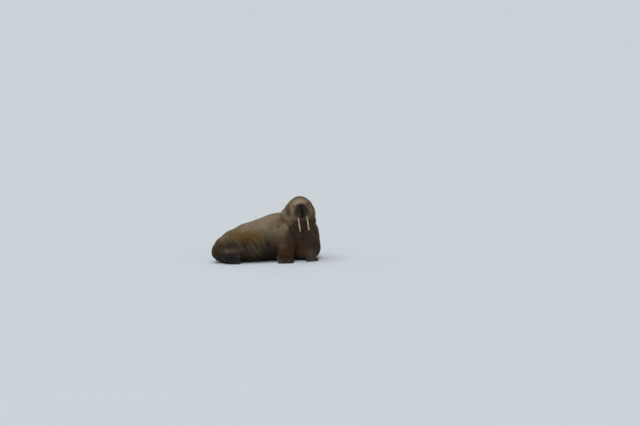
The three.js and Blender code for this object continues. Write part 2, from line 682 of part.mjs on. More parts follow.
// Limbs and tail, each cut back from the trunk that it grows from.
function limb(name, shape, root, end) {
  const wrist = { at: shape.wrist, forward: shape.along };
  const whole = wasm.Manifold.union([stalk(shape.stalk, shape.across), fan(shape), ...claws(shape)]);
  const visible = trim(whole.subtract(trunkCarver), ...FLOOR);
  add(`${name}_${root}`, behind(visible, wrist), COLOURS.darkHide);
  add(`${name}_${end}`, ahead(visible, wrist), COLOURS.flipper);
}
limb("fore_flipper_right", FORE_RIGHT, "arm", "hand");
limb("fore_flipper_left", FORE_LEFT, "arm", "hand");
limb("hind_flipper_right", HIND_RIGHT, "ankle", "foot");
limb("hind_flipper_left", HIND_LEFT, "ankle", "foot");
add("tail", trim(stalk(TAIL, v3(0.1, 1, 0), 12, 6).subtract(trunkCarver), ...FLOOR), COLOURS.darkHide);

export default walrus;
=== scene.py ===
import itertools
import math

import bmesh
import bpy
import numpy as np
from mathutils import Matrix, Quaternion, Vector


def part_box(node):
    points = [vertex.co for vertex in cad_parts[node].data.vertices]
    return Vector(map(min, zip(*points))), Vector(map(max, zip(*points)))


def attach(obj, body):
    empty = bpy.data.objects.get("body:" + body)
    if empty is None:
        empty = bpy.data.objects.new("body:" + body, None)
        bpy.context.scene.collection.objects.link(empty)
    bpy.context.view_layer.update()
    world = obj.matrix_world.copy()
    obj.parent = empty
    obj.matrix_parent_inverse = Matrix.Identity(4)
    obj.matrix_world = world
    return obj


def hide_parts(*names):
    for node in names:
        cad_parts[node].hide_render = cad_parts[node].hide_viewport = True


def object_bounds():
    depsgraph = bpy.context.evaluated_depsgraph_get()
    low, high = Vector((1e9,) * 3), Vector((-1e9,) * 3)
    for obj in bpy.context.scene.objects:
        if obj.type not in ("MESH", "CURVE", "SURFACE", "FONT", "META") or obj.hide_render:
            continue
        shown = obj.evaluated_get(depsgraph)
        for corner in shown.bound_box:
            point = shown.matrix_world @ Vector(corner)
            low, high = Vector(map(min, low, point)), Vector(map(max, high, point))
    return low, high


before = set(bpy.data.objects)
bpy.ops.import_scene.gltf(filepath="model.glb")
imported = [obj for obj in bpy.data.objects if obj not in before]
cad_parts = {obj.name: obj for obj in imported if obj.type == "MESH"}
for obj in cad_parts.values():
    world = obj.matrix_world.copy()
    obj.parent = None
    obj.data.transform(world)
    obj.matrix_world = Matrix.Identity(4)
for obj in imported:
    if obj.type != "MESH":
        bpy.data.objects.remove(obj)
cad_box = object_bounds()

MM = 0.001
rad = math.radians
RIGHT, LEFT = 1, -1
SIDES = {"right": RIGHT, "left": LEFT}


# Camera

PICTURE_WIDE = 640  # pixels
PIXEL = 0.020  # metres of the animal across one pixel of the photograph
AIM = Vector((1.08, 0.0, 0.92))  # what lies at the middle of the photograph
AWAY = 50.0
RISE = rad(8)
TILT = rad(-1.5)
SENSOR = 36.0  # millimetres


def make_camera():
    """Looks along +Y from far away and slightly above, as the photograph does."""
    data = bpy.data.cameras.new("camera")
    data.sensor_width = SENSOR
    data.lens = SENSOR * AWAY / (PICTURE_WIDE * PIXEL)
    data.clip_start = 1.0
    data.clip_end = 200.0
    camera = bpy.data.objects.new("camera", data)
    back = Vector((0.0, -math.cos(RISE), math.sin(RISE)))
    camera.location = AIM + back * AWAY
    camera.rotation_mode = "QUATERNION"
    camera.rotation_quaternion = (-back).to_track_quat("-Z", "Y") @ Quaternion((0, 0, 1), TILT)
    bpy.context.collection.objects.link(camera)
    bpy.context.scene.camera = camera


# Shape of the flesh, from the same sizes as the solids. Stations and lumps are in millimetres.

# The spine from rump to nape: x, y, z of each section's centre, its half width and half height.
SPINE = MM * np.array([
    (-985, -165, 194, 122, 142),
    (-908, -152, 228, 194, 197),
    (-768, -118, 272, 285, 278),
    (-560, -72, 325, 358, 355),
    (-300, -20, 360, 400, 415),
    (-40, 32, 405, 410, 445),
    (200, 84, 480, 395, 455),
    (420, 100, 560, 375, 400),
    (570, 70, 715, 368, 340),
    (655, 15, 870, 338, 300),
    (680, -45, 990, 262, 278),
    (685, -130, 1035, 172, 195),
])
SPINE_BEADS = 44
# Mounds that fill the body out: centre and half sizes.
MOUNDS = {
    "breast": MM * np.array([(700, 50, 420), (365, 325, 440)]),
    "apron": MM * np.array([(748, 60, 190), (318, 300, 260)]),
    "brisket": MM * np.array([(300, 70, 235), (340, 330, 270)]),
    "shoulder": MM * np.array([(440, -115, 420), (210, 235, 290)]),
    "haunch": MM * np.array([(-735, -180, 185), (225, 205, 215)]),
    "far haunch": MM * np.array([(-780, 30, 170), (220, 200, 185)]),
}
BODY_BLEND = 0.110
HEAD_BLEND = 0.080
NECK_AT = MM * np.array((590, 25, 740))
NECK_AXIS = np.array((0.3, -0.45, 0.84)) / np.linalg.norm((0.3, -0.45, 0.84))
NECK_ROLL = {"high": 0.011, "pitch": 0.140}

# The head's own frame: x to the animal's right, y forward along the muzzle, z up.
HEAD_AT = MM * np.array((684, -195, 1068))
HEAD_YAW, HEAD_PITCH, HEAD_ROLL = rad(7), rad(3), rad(6.5)
# Each lump of the head: centre, half sizes and how softly it joins the rest.
HEAD_LUMPS = {
    "cranium": ((0, -50, 20), (138, 185, 145), 40),
    "brow": ((0, 60, 66), (118, 112, 78), 40),
    "bridge": ((0, 140, 36), (86, 122, 72), 40),
    "nose": ((0, 224, 32), (62, 60, 60), 34),
    "throat": ((0, -20, -110), (135, 160, 105), 60),
}
PAIRED_LUMPS = {
    "pad": ((71, 214, -62), (84, 94, 112), 22),
    "cheek": ((94, 45, -52), (88, 130, 108), 40),
    "eye mound": ((106, 76, 60), (48, 58, 42), 36),
}
JAW = (MM * np.array((0, 168, -150)), MM * np.array((62, 84, 62)))
LIP_BLEND = 0.010

# Limbs: stations of the stalk (centre, half width, half thickness), then a fan of digits.
LIMBS = {
    "fore_flipper_right": {
        "stalk": MM * np.array([
            (424, -170, 420, 156, 135),
            (392, -282, 285, 168, 108),
            (374, -330, 165, 174, 82),
            (364, -350, 90, 172, 58),
            (362, -392, 42, 156, 32),
            (372, -460, 25, 110, 12),
        ]),
        "across": (1, 0.1, 0),
        "wrist": MM * np.array((358, -364, 37)),
        "along": (0.12, -0.98, -0.12),
        "thumb": (0.98, 0.12, 0),
        "spread": rad(17),
        "reach": 0.215,
        "longest": "first",
    },
    "fore_flipper_left": {
        "stalk": MM * np.array([
            (730, 10, 330, 150, 130),
            (795, -96, 240, 142, 112),
            (838, -160, 165, 134, 92),
            (866, -196, 100, 126, 66),
            (880, -236, 48, 110, 36),
            (892, -292, 25, 80, 12),
        ]),
        "across": (-0.96, -0.25, 0),
        "wrist": MM * np.array((874, -212, 40)),
        "along": (0.25, -0.95, -0.15),
        "thumb": (-0.95, -0.25, 0),
        "spread": rad(15),
        "reach": 0.190,
        "longest": "first",
    },
    "hind_flipper_right": {
        "stalk": MM * np.array([
            (-780, -180, 175, 125, 95),
            (-838, -322, 162, 122, 78),
            (-806, -394, 154, 114, 60),
            (-750, -420, 147, 102, 36),
            (-680, -434, 139, 76, 12),
        ]),
        "across": (0.1, -0.3, -1),
        "wrist": MM * np.array((-772, -412, 150)),
        "along": (0.985, -0.1, -0.09),
        "thumb": (0.03, -0.34, -0.94),
        "spread": rad(16),
        "reach": 0.300,
        "longest": "outer",
    },
    "hind_flipper_left": {
        "stalk": MM * np.array([
            (-810, 10, 140, 105, 84),
            (-830, 110, 96, 100, 64),
            (-838, 180, 58, 92, 44),
            (-840, 240, 34, 80, 26),
            (-840, 300, 24, 60, 12),
        ]),
        "across": (1, 0.1, 0),
        "wrist": MM * np.array((-838, 205, 36)),
        "along": (0.05, 0.99, -0.09),
        "thumb": (-1, 0.05, 0),
        "spread": rad(15),
        "reach": 0.290,
        "longest": "outer",
    },
}
# The fan: how far behind the wrist its digits would meet, how many there are, how thick the web between them
# is as a share, how deep the notches and how round the corners of its edge are as shares of its length, half
# its thickness at root and tip, and how far it runs back into the wrist.
FAN = {
    "pole": 0.400,
    "digits": 5,
    "web": 0.78,
    "notch": 0.10,
    "corner": 0.13,
    "root": 0.036,
    "tip": 0.012,
    "heel": 0.040,
}
FAN_RIM = 0.009  # how round the flippers' edges are
TAIL = MM * np.array([(-880, -150, 120, 62, 40), (-968, -165, 84, 56, 30), (-1004, -170, 60, 40, 20)])
STALK_BEADS = 22
STALK_BLEND = 0.030
FAN_BLEND = 0.014
CONTACT_BLEND = 0.012  # how softly the flesh turns in where it meets the floor

COAT_DEPTH = 0.005  # the skin lies this far inside the solids where it carries the coat
FACE_COAT = 0.3  # the share of that depth on the face


def smooth_min(a, b, blend):
    near = np.maximum(blend - np.abs(a - b), 0) / blend
    return np.minimum(a, b) - near * near * blend / 4


def smooth_step(low, high, value):
    t = np.clip((value - low) / (high - low), 0, 1)
    return t * t * (3 - 2 * t)


def unit(vector):
    vector = np.asarray(vector, float)
    return vector / np.linalg.norm(vector)


def ellipsoid(points, centre, size, axes=None):
    """About how far points lie outside an ellipsoid; the columns of axes are its own directions."""
    q = points - centre.astype(points.dtype)
    if axes is not None:
        q = q @ axes.astype(points.dtype)
    q /= size.astype(points.dtype)
    k0 = np.sqrt(np.einsum("ij,ij->i", q, q))
    q /= size.astype(points.dtype)
    k1 = np.sqrt(np.einsum("ij,ij->i", q, q))
    return k0 * (k0 - 1) / np.maximum(k1, 1e-6)


def curve_point(places, t):
    """A point of the smooth curve through some places, t from 0 to 1."""
    last = len(places) - 1
    i = min(int(t * last), last - 1)
    w = t * last - i
    p1, p2 = places[i], places[i + 1]
    p0 = places[i - 1] if i else 2 * p1 - p2
    p3 = places[i + 2] if i + 2 <= last else 2 * p2 - p1
    d0, d1, d2 = (max(math.sqrt(np.linalg.norm(b - a)), 1e-4) for a, b in ((p0, p1), (p1, p2), (p2, p3)))
    m1 = d1 * ((p1 - p0) / d0 - (p2 - p0) / (d0 + d1) + (p2 - p1) / d1)
    m2 = d1 * ((p2 - p1) / d1 - (p3 - p1) / (d1 + d2) + (p3 - p2) / d2)
    return p1 + m1 * w + (3 * (p2 - p1) - 2 * m1 - m2) * w**2 + (2 * (p1 - p2) + m1 + m2) * w**3


def curve_way(places, t):
    step = 1e-3
    low, high = max(t - step, 0), min(t + step, 1)
    return unit(curve_point(places, high) - curve_point(places, low))


def between(stations, column, t):
    """A size read between the stations, easing from each to the next."""
    place = t * (len(stations) - 1)
    i = min(int(place), len(stations) - 2)
    ease = smooth_step(0, 1, place - i)
    return stations[i, column] * (1 - ease) + stations[i + 1, column] * ease


def frame_along(along, up):
    x = unit(np.cross(along, up))
    return np.stack([x, along, np.cross(x, along)], axis=1)


def spine_beads():
    beads = []
    for t in np.linspace(0, 1, SPINE_BEADS):
        wide, tall = between(SPINE, 3, t), between(SPINE, 4, t)
        axes = frame_along(curve_way(SPINE[:, :3], t), (0, 0.5, 1))
        beads.append((curve_point(SPINE[:, :3], t), np.array((wide, (wide + tall) / 2, tall)), axes))
    return beads


def stalk_beads(stations, across):
    beads = []
    for t in np.linspace(0, 1, STALK_BEADS):
        along = curve_way(stations[:, :3], t)
        side = unit(across - along * np.dot(across, along))
        wide, thick = between(stations, 3, t), between(stations, 4, t)
        size = np.array((wide, max(thick, 0.02), thick))
        axes = np.stack([side, along, np.cross(side, along)], axis=1)
        beads.append((curve_point(stations[:, :3], t), size, axes))
    return beads


def head_axes():
    forward = np.array((
        math.sin(HEAD_YAW) * math.cos(HEAD_PITCH),
        -math.cos(HEAD_YAW) * math.cos(HEAD_PITCH),
        math.sin(HEAD_PITCH),
    ))
    level = np.array((-math.cos(HEAD_YAW), -math.sin(HEAD_YAW), 0))
    right = level * math.cos(HEAD_ROLL) - np.cross(level, forward) * math.sin(HEAD_ROLL)
    return np.stack([right, forward, np.cross(right, forward)], axis=1)


HEAD_AXES = head_axes()
SPINE_FLESH = spine_beads()
TAIL_FLESH = stalk_beads(TAIL, np.array((0.1, 1.0, 0.0)))


def to_head(points):
    return (points - HEAD_AT.astype(points.dtype)) @ HEAD_AXES.astype(points.dtype)


def from_head(place):
    return HEAD_AT + np.asarray(place) @ HEAD_AXES.T


def head_way(way):
    return unit(np.asarray(way) @ HEAD_AXES.T)


def head_field(points):
    q = to_head(points)
    least = np.full(len(points), 10, points.dtype)
    for at, size, blend in HEAD_LUMPS.values():
        least = smooth_min(least, ellipsoid(q, MM * np.array(at), MM * np.array(size)), blend * MM)
    q[:, 0] = np.abs(q[:, 0])
    for at, size, blend in PAIRED_LUMPS.values():
        least = smooth_min(least, ellipsoid(q, MM * np.array(at), MM * np.array(size)), blend * MM)
    return least


def neck_roll(points):
    along = (points - NECK_AT.astype(points.dtype)) @ NECK_AXIS.astype(points.dtype)
    fade = smooth_step(-0.060, 0.040, along) * (1 - smooth_step(0.190, 0.300, along))
    return NECK_ROLL["high"] * fade * np.cos(2 * np.pi * along / NECK_ROLL["pitch"])


def least_of(points, beads):
    """How far points lie outside the nearest of some beads; far points aren't worked out."""
    least = np.full(len(points), 1.0, points.dtype)
    reach = 0.15 + max(bead[1].max() for bead in beads)
    centres = np.array([bead[0] for bead in beads])
    low, high = centres.min(0) - reach, centres.max(0) + reach
    inside = np.nonzero(((points > low) & (points < high)).all(1))[0]
    if len(inside):
        some = points[inside]
        nearest = least[inside]
        for centre, size, axes in beads:
            nearest = np.minimum(nearest, ellipsoid(some, centre, size, axes))
        least[inside] = nearest
    return least


class Limb:
    """A limb's stalk and the fan of its digits, with the directions of the fan."""

    def __init__(self, shape):
        self.shape = shape
        self.beads = stalk_beads(shape["stalk"], np.array(shape["across"], float))
        self.wrist = shape["wrist"]
        self.along = unit(shape["along"])
        self.thumb = unit(np.array(shape["thumb"]) - self.along * np.dot(shape["thumb"], self.along))
        back = np.cross(self.thumb, self.along)
        self.back = back if back[2] > 0 else -back

    def digit(self, across):
        return np.abs(np.sin(np.pi * FAN["digits"] * (across + 1) / 2))

    def reach(self, across):
        first = self.shape["longest"] == "first"
        length = 0.9 + 0.1 * across if first else 0.86 + 0.14 * across**2
        rounded = 1 - FAN["corner"] * across**8
        return self.shape["reach"] * length * rounded * (1 - FAN["notch"] * (1 - self.digit(across)) ** 1.5)

    def half(self, across, out):
        """Half the thickness of the fan, thicker along each digit than in the web."""
        lift = np.minimum(out * 2, 1)
        ridge = FAN["web"] + (1 - FAN["web"]) * (1 - lift + lift * self.digit(across))
        return (FAN["root"] + (FAN["tip"] - FAN["root"]) * out**0.7) * ridge

    def on_fan(self, points):
        """Where points lie on the fan: across it, out along it, how far off its middle, and off the pole."""
        q = points - self.wrist.astype(points.dtype)
        ahead = q @ self.along.astype(points.dtype) + FAN["pole"]
        aside = q @ self.thumb.astype(points.dtype)
        turn = np.arctan2(aside, ahead) / self.shape["spread"]
        far = np.hypot(ahead, aside)
        across = np.clip(turn, -1, 1)
        length = self.reach(across) + FAN["heel"]
        out = (far - FAN["pole"] + FAN["heel"]) / length
        return turn, out, q @ self.back.astype(points.dtype), far, length

    def fan_field(self, points):
        field = np.full(len(points), 1.0, points.dtype)
        near = np.nonzero(np.linalg.norm(points - self.wrist.astype(points.dtype), axis=1) < 0.45)[0]
        if not len(near):
            return field
        turn, out, off, far, length = self.on_fan(points[near])
        side = (np.abs(turn) - 1) * self.shape["spread"] * far
        end = np.maximum((out - 1) * length, -out * length)
        face = np.abs(off) - self.half(np.clip(turn, -1, 1), np.clip(out, 0, 1))
        rim = np.maximum(side, end) + FAN_RIM
        face = face + FAN_RIM
        outside = np.hypot(np.maximum(rim, 0), np.maximum(face, 0))
        field[near] = outside + np.minimum(np.maximum(rim, face), 0) - FAN_RIM
        return field

    def field(self, points):
        return smooth_min(least_of(points, self.beads), self.fan_field(points), FAN_BLEND)


FLIPPERS = {name: Limb(shape) for name, shape in LIMBS.items()}


def trunk_field(points):
    """The body and head without limbs or lower jaw."""
    least = np.full(len(points), 10, points.dtype)
    for centre, size, axes in SPINE_FLESH:
        least = np.minimum(least, ellipsoid(points, centre, size, axes))
    for centre, size in MOUNDS.values():
        least = smooth_min(least, ellipsoid(points, centre, size), BODY_BLEND)
    return smooth_min(least, head_field(points), HEAD_BLEND) - neck_roll(points)


def skin_field(points):
    """The whole skin, flat where it lies on the floor."""
    head = to_head(points)
    face = smooth_step(0.34, 0.24, np.sqrt(np.einsum("ij,ij->i", head, head)))
    least = trunk_field(points) + COAT_DEPTH * (1 - (1 - FACE_COAT) * face)
    least = smooth_min(least, ellipsoid(head, *JAW), LIP_BLEND)
    for limb in FLIPPERS.values():
        least = smooth_min(least, limb.field(points) + 0.3 * COAT_DEPTH, STALK_BLEND)
    least = smooth_min(least, least_of(points, TAIL_FLESH), STALK_BLEND)
    return -smooth_min(-least, points[:, 2], CONTACT_BLEND)


# Making the skin's mesh

CELL = 0.0128  # of the first net over the body
BLOCK = 16_000  # points worked out at a time
SLOPE_STEP = 0.5 * MM  # how far apart a field is read to find its slope
HEAD_REGION = 0.36  # round the head, where the net is made twice as fine
FACE_AT = (0, 0.215, -0.05)  # the middle of the muzzle, in the head's frame
FACE_REGION = 0.175
EYE_REGION = 0.050


def in_blocks(work, points):
    return np.concatenate([work(points[n:n + BLOCK]) for n in range(0, len(points), BLOCK)])


def surface_net(field, low, high, cell):
    """Points and quads where a field changes sign: one point in each grid cell that it crosses."""
    lines = [np.arange(a, b + cell, cell) for a, b in zip(low, high)]
    count = [len(line) for line in lines]
    grid = np.stack(np.meshgrid(*lines, indexing="ij"), axis=-1).reshape(-1, 3).astype(np.float32)
    value = in_blocks(field, grid).reshape(count)
    corners = np.array(list(itertools.product((0, 1), repeat=3)))
    inside = value < 0
    cells = [n - 1 for n in count]
    total = np.zeros(cells, np.int8)
    for i, j, k in corners:
        total += inside[i:i + cells[0], j:j + cells[1], k:k + cells[2]]
    mixed = np.argwhere((total > 0) & (total < 8))
    ends = np.stack([value[tuple((mixed + corner).T)] for corner in corners], axis=1).astype(float)
    place = np.zeros((len(mixed), 3))
    crossings = np.zeros(len(mixed))
    for a, b in itertools.combinations(range(8), 2):
        if np.abs(corners[a] - corners[b]).sum() != 1:
            continue
        crossed = (ends[:, a] < 0) != (ends[:, b] < 0)
        share = np.where(crossed, ends[:, a] / np.where(crossed, ends[:, a] - ends[:, b], 1), 0)
        place += crossed[:, None] * (corners[a] + share[:, None] * (corners[b] - corners[a]))
        crossings += crossed
    points = np.asarray(low) + cell * (mixed + place / crossings[:, None])
    number = np.full(cells, -1)
    number[tuple(mixed.T)] = np.arange(len(mixed))
    quads = []
    for axis in range(3):
        step, back, down = np.roll(np.eye(3, dtype=int), axis, axis=1)
        first = value[tuple(slice(0, n - s) for n, s in zip(count, step))]
        second = value[tuple(slice(s, n) for n, s in zip(count, step))]
        here = np.argwhere((first < 0) != (second < 0))
        round_edge = (0 * step, back, back + down, down)
        ring = np.stack([number[tuple((here - shift).T)] for shift in round_edge], axis=1)
        outward = value[tuple(here.T)] < 0
        ring[~outward] = ring[~outward][:, ::-1]
        quads.append(ring)
    return points, np.concatenate(quads)


def slope(field, points):
    here = field(points)
    ahead = [field(points + SLOPE_STEP * axis) for axis in np.eye(3)]
    return here, (np.stack(ahead, axis=1) - here[:, None]) / SLOPE_STEP


def settle(points, most, rounds):
    """Moves points onto the skin along its slope, and gives the way out of it at each."""
    def work(some):
        for _ in range(rounds):
            here, way = slope(skin_field, some)
            steep = np.maximum((way * way).sum(1), 0.05)
            some = some - np.clip(here / steep, -most, most)[:, None] * way
        return np.concatenate([some, way / np.sqrt(steep)[:, None]], axis=1)

    both = in_blocks(work, points)
    return both[:, :3], both[:, 3:]


def mesh_of(name, points, faces):
    mesh = bpy.data.meshes.new(name)
    mesh.from_pydata(points.tolist(), [], [list(map(int, face)) for face in faces])
    mesh.update()
    return mesh


def places_of(mesh):
    places = np.empty(len(mesh.vertices) * 3)
    mesh.vertices.foreach_get("co", places)
    return places.reshape(-1, 3)


def place_mesh(mesh, places):
    mesh.vertices.foreach_set("co", np.ascontiguousarray(places, np.float32).ravel())
    mesh.update()


def refine(mesh, wanted):
    """Splits each face in four whose middle is wanted."""
    net = bmesh.new()
    net.from_mesh(mesh)
    middles = np.array([face.calc_center_median() for face in net.faces])
    chosen = wanted(middles)
    edges = {edge for face, take in zip(net.faces, chosen) if take for edge in face.edges}
    bmesh.ops.subdivide_edges(net, edges=list(edges), cuts=1, use_grid_fill=True)
    net.to_mesh(mesh)
    net.free()


def near_head(points):
    return np.linalg.norm(points - HEAD_AT, axis=1) < HEAD_REGION


def near_face(points):
    q = to_head(points)
    muzzle = np.linalg.norm(q - np.array(FACE_AT), axis=1) < FACE_REGION
    eyes = [np.linalg.norm(points - eye["centre"], axis=1) < EYE_REGION for eye in EYES.values()]
    return np.logical_or.reduce([muzzle, *eyes])


def make_skin():
    margin = np.full(3, 2.5 * CELL)
    low = np.array(cad_box[0]) - margin
    high = np.array(cad_box[1]) + margin
    points, quads = surface_net(skin_field, low, high, CELL)
    points, _ = settle(points, CELL / 3, 2)
    mesh = mesh_of("skin", points, quads)
    refine(mesh, near_head)
    refine(mesh, near_face)
    skin = bpy.data.objects.new("skin", mesh)
    bpy.context.collection.objects.link(skin)
    smooth = skin.modifiers.new("finer", "SUBSURF")
    smooth.levels = smooth.render_levels = 1
    bpy.context.view_layer.update()
    finer = bpy.data.meshes.new_from_object(skin.evaluated_get(bpy.context.evaluated_depsgraph_get()))
    skin.modifiers.clear()
    skin.data = finer
    bpy.data.meshes.remove(mesh)
    finer.name = "skin"
    return skin


# Seeded noise over places in space

class Noise:
    """Smooth noise from about -1 to 1, one value for each point."""

    SIDE = 32

    def __init__(self, seed):
        self.table = np.random.default_rng(seed).uniform(-1, 1, (self.SIDE,) * 3)

    def __call__(self, points, size):
        q = points / size
        base = np.floor(q).astype(int)
        w = q - base
        w = w * w * (3 - 2 * w)
        total = np.zeros(len(points))
        for corner in itertools.product((0, 1), repeat=3):
            share = np.prod(np.where(corner, w, 1 - w), axis=1)
            i, j, k = ((base + corner) % self.SIDE).T
            total += share * self.table[i, j, k]
        return total * 1.6


WARP, PATCHES, LUMPS, GRAIN, WANDER = (Noise(seed) for seed in (11, 23, 37, 53, 61))


# Eyes' places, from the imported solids

EYE_RADIUS = 0.021
EYE_WAY = (0.93, 0.30, 0.16)  # which way the right eye looks, in the head's frame
EYE_SLIT = 0.0190  # half the opening's length
EYE_OPENING = 0.0125  # half its height
LID_THICK = 0.0034
MARCH_ROUNDS = 60  # steps from inside the head out to the skin
MARCH_SHARE = 0.8  # how much of the way left each step takes


def eye_axes(side):
    low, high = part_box(f"eye_{'right' if side == RIGHT else 'left'}")
    out = head_way((side * EYE_WAY[0], EYE_WAY[1], EYE_WAY[2]))
    slit = head_way((-side * EYE_WAY[1], EYE_WAY[0], -0.16))
    slit = unit(slit - out * np.dot(slit, out))
    up = np.cross(out, slit) * side
    return {"centre": (np.array(low) + np.array(high)) / 2, "out": out, "slit": slit, "up": up}


EYES = {name: eye_axes(side) for name, side in SIDES.items()}


def on_skin(from_place, way):
    """Points on the skin met from places inside the head, all given in the head's frame."""
    points = from_head(np.atleast_2d(from_place))
    ways = np.atleast_2d(way) @ HEAD_AXES.T
    ways = ways / np.linalg.norm(ways, axis=1)[:, None]
    for _ in range(MARCH_ROUNDS):
        points = points - ways * skin_field(points)[:, None] * MARCH_SHARE
    return points, ways


# Relief of the skin

SPINE_SAMPLES = 90
SPINE_LINE = np.array([curve_point(SPINE[:, :3], t) for t in np.linspace(0, 1, SPINE_SAMPLES)])
SPINE_WAYS = np.array([curve_way(SPINE[:, :3], t) for t in np.linspace(0, 1, SPINE_SAMPLES)])
SPINE_RUN = np.concatenate([[0], np.cumsum(np.linalg.norm(np.diff(SPINE_LINE, axis=0), axis=1))])
SPINE_LONG = SPINE_RUN[-1]


def along_spine(points):
    """How far along the spine each point is, the way there, and the turn about the spine."""
    half = (SPINE_LINE**2).sum(1) / 2
    nearest = in_blocks(lambda some: (half - some @ SPINE_LINE.T).argmin(1), points)
    off = points - SPINE_LINE[nearest]
    ways = SPINE_WAYS[nearest]
    run = SPINE_RUN[nearest] + (off * ways).sum(1)
    left = np.cross(np.array((0, 0.4, 1.0)), ways)
    left /= np.linalg.norm(left, axis=1)[:, None]
    upright = np.cross(ways, left)
    turn = np.arctan2((off * left).sum(1), (off * upright).sum(1))
    return run, ways, turn


def folds(place, pitch, power):
    """Rounded rolls with narrow creases between them, from -1 in a crease to about 0.4 on a roll."""
    return np.abs(np.sin(np.pi * place / pitch)) ** power * 1.4 - 1


def bump_at(points, centre, size):
    """A soft round window about a place, 1 in its middle."""
    q = (points - np.array(centre)) / np.array(size)
    return np.exp(-(q * q).sum(1))


# Folds pressed up where the body bends: where they are, across what slant, how far apart and how high.
FLANK = {
    "centre": (-0.30, -0.30, 0.42),
    "size": (0.40, 0.42, 0.32),
    "slant": (0.86, 0.0, 0.51),
    "pitch": 0.112,
    "high": 0.0105,
}
FAR_FLANK = {
    "centre": (-0.15, 0.42, 0.40),
    "size": (0.40, 0.30, 0.30),
    "slant": (0.90, 0.0, 0.43),
    "pitch": 0.120,
    "high": 0.0060,
}
HOOD_CREASE = {"at": -0.078, "wide": 0.024, "deep": 0.013, "roll": 0.007}
# The edge between breast and near shoulder, as x and z of places on it.
CHEST_FOLD = {
    "line": MM * np.array([(430, 800), (500, 640), (572, 500), (616, 360), (622, 220)]),
    "wide": 0.026,
    "deep": 0.014,
}
# Where folds hang down the breast, and how x and z count across them.
HANGING = {"centre": (0.72, -0.28, 0.50), "size": (0.28, 0.26, 0.30), "slant": (0.96, 0.22)}
# Rows of lower folds: how high they stand and how far apart.
NECK_RINGS = {"high": 0.0056, "pitch": 0.070}
HANGING_FOLDS = {"high": 0.0070, "pitch": 0.078}
WRINKLES = {"high": 0.0024, "pitch": 0.046}
CROSS_WRINKLES = {"high": 0.0018, "pitch": 0.054}
BROW_WRINKLES = {"high": 0.0024, "pitch": 0.030}
KNUCKLES = {"high": 0.0016, "pitch": 0.024}
WANDERING = ((0.075, 0.0022), (0.040, 0.0013))  # how wide creases wander, and how deep they are
FAT = {"wide": 0.23, "high": 0.0060}
FINE_FAT = {"wide": 0.06, "high": 0.0014}
DIGIT_RIDGE = 0.0065
DARKEST_CREASE = 0.008  # from this depth on a crease is fully dark with painted shade


def bend_of(points):
    """How far the lines of the folds wander from their even places."""
    return WARP(points, 0.16) * 0.045 + WARP(points, 0.05) * 0.012


def flank_folds(points, fold):
    """How high points lie on one flank's folds, from 0 in a crease to 1, and how strong the folds are."""
    place = points @ np.array(fold["slant"]) + 0.8 * bend_of(points)
    strength = bump_at(points, fold["centre"], fold["size"]) * smooth_step(-0.9, 0.2, PATCHES(points, 0.30))
    return np.abs(np.sin(np.pi * place / fold["pitch"])), strength


def off_line(points, line):
    """How far points are from a line through places of a plane."""
    nearest = np.full(len(points), 1.0)
    for start, end in itertools.pairwise(line):
        way = end - start
        t = np.clip(((points - start) @ way) / (way @ way), 0, 1)
        nearest = np.minimum(nearest, np.linalg.norm(points - start - t[:, None] * way, axis=1))
    return nearest


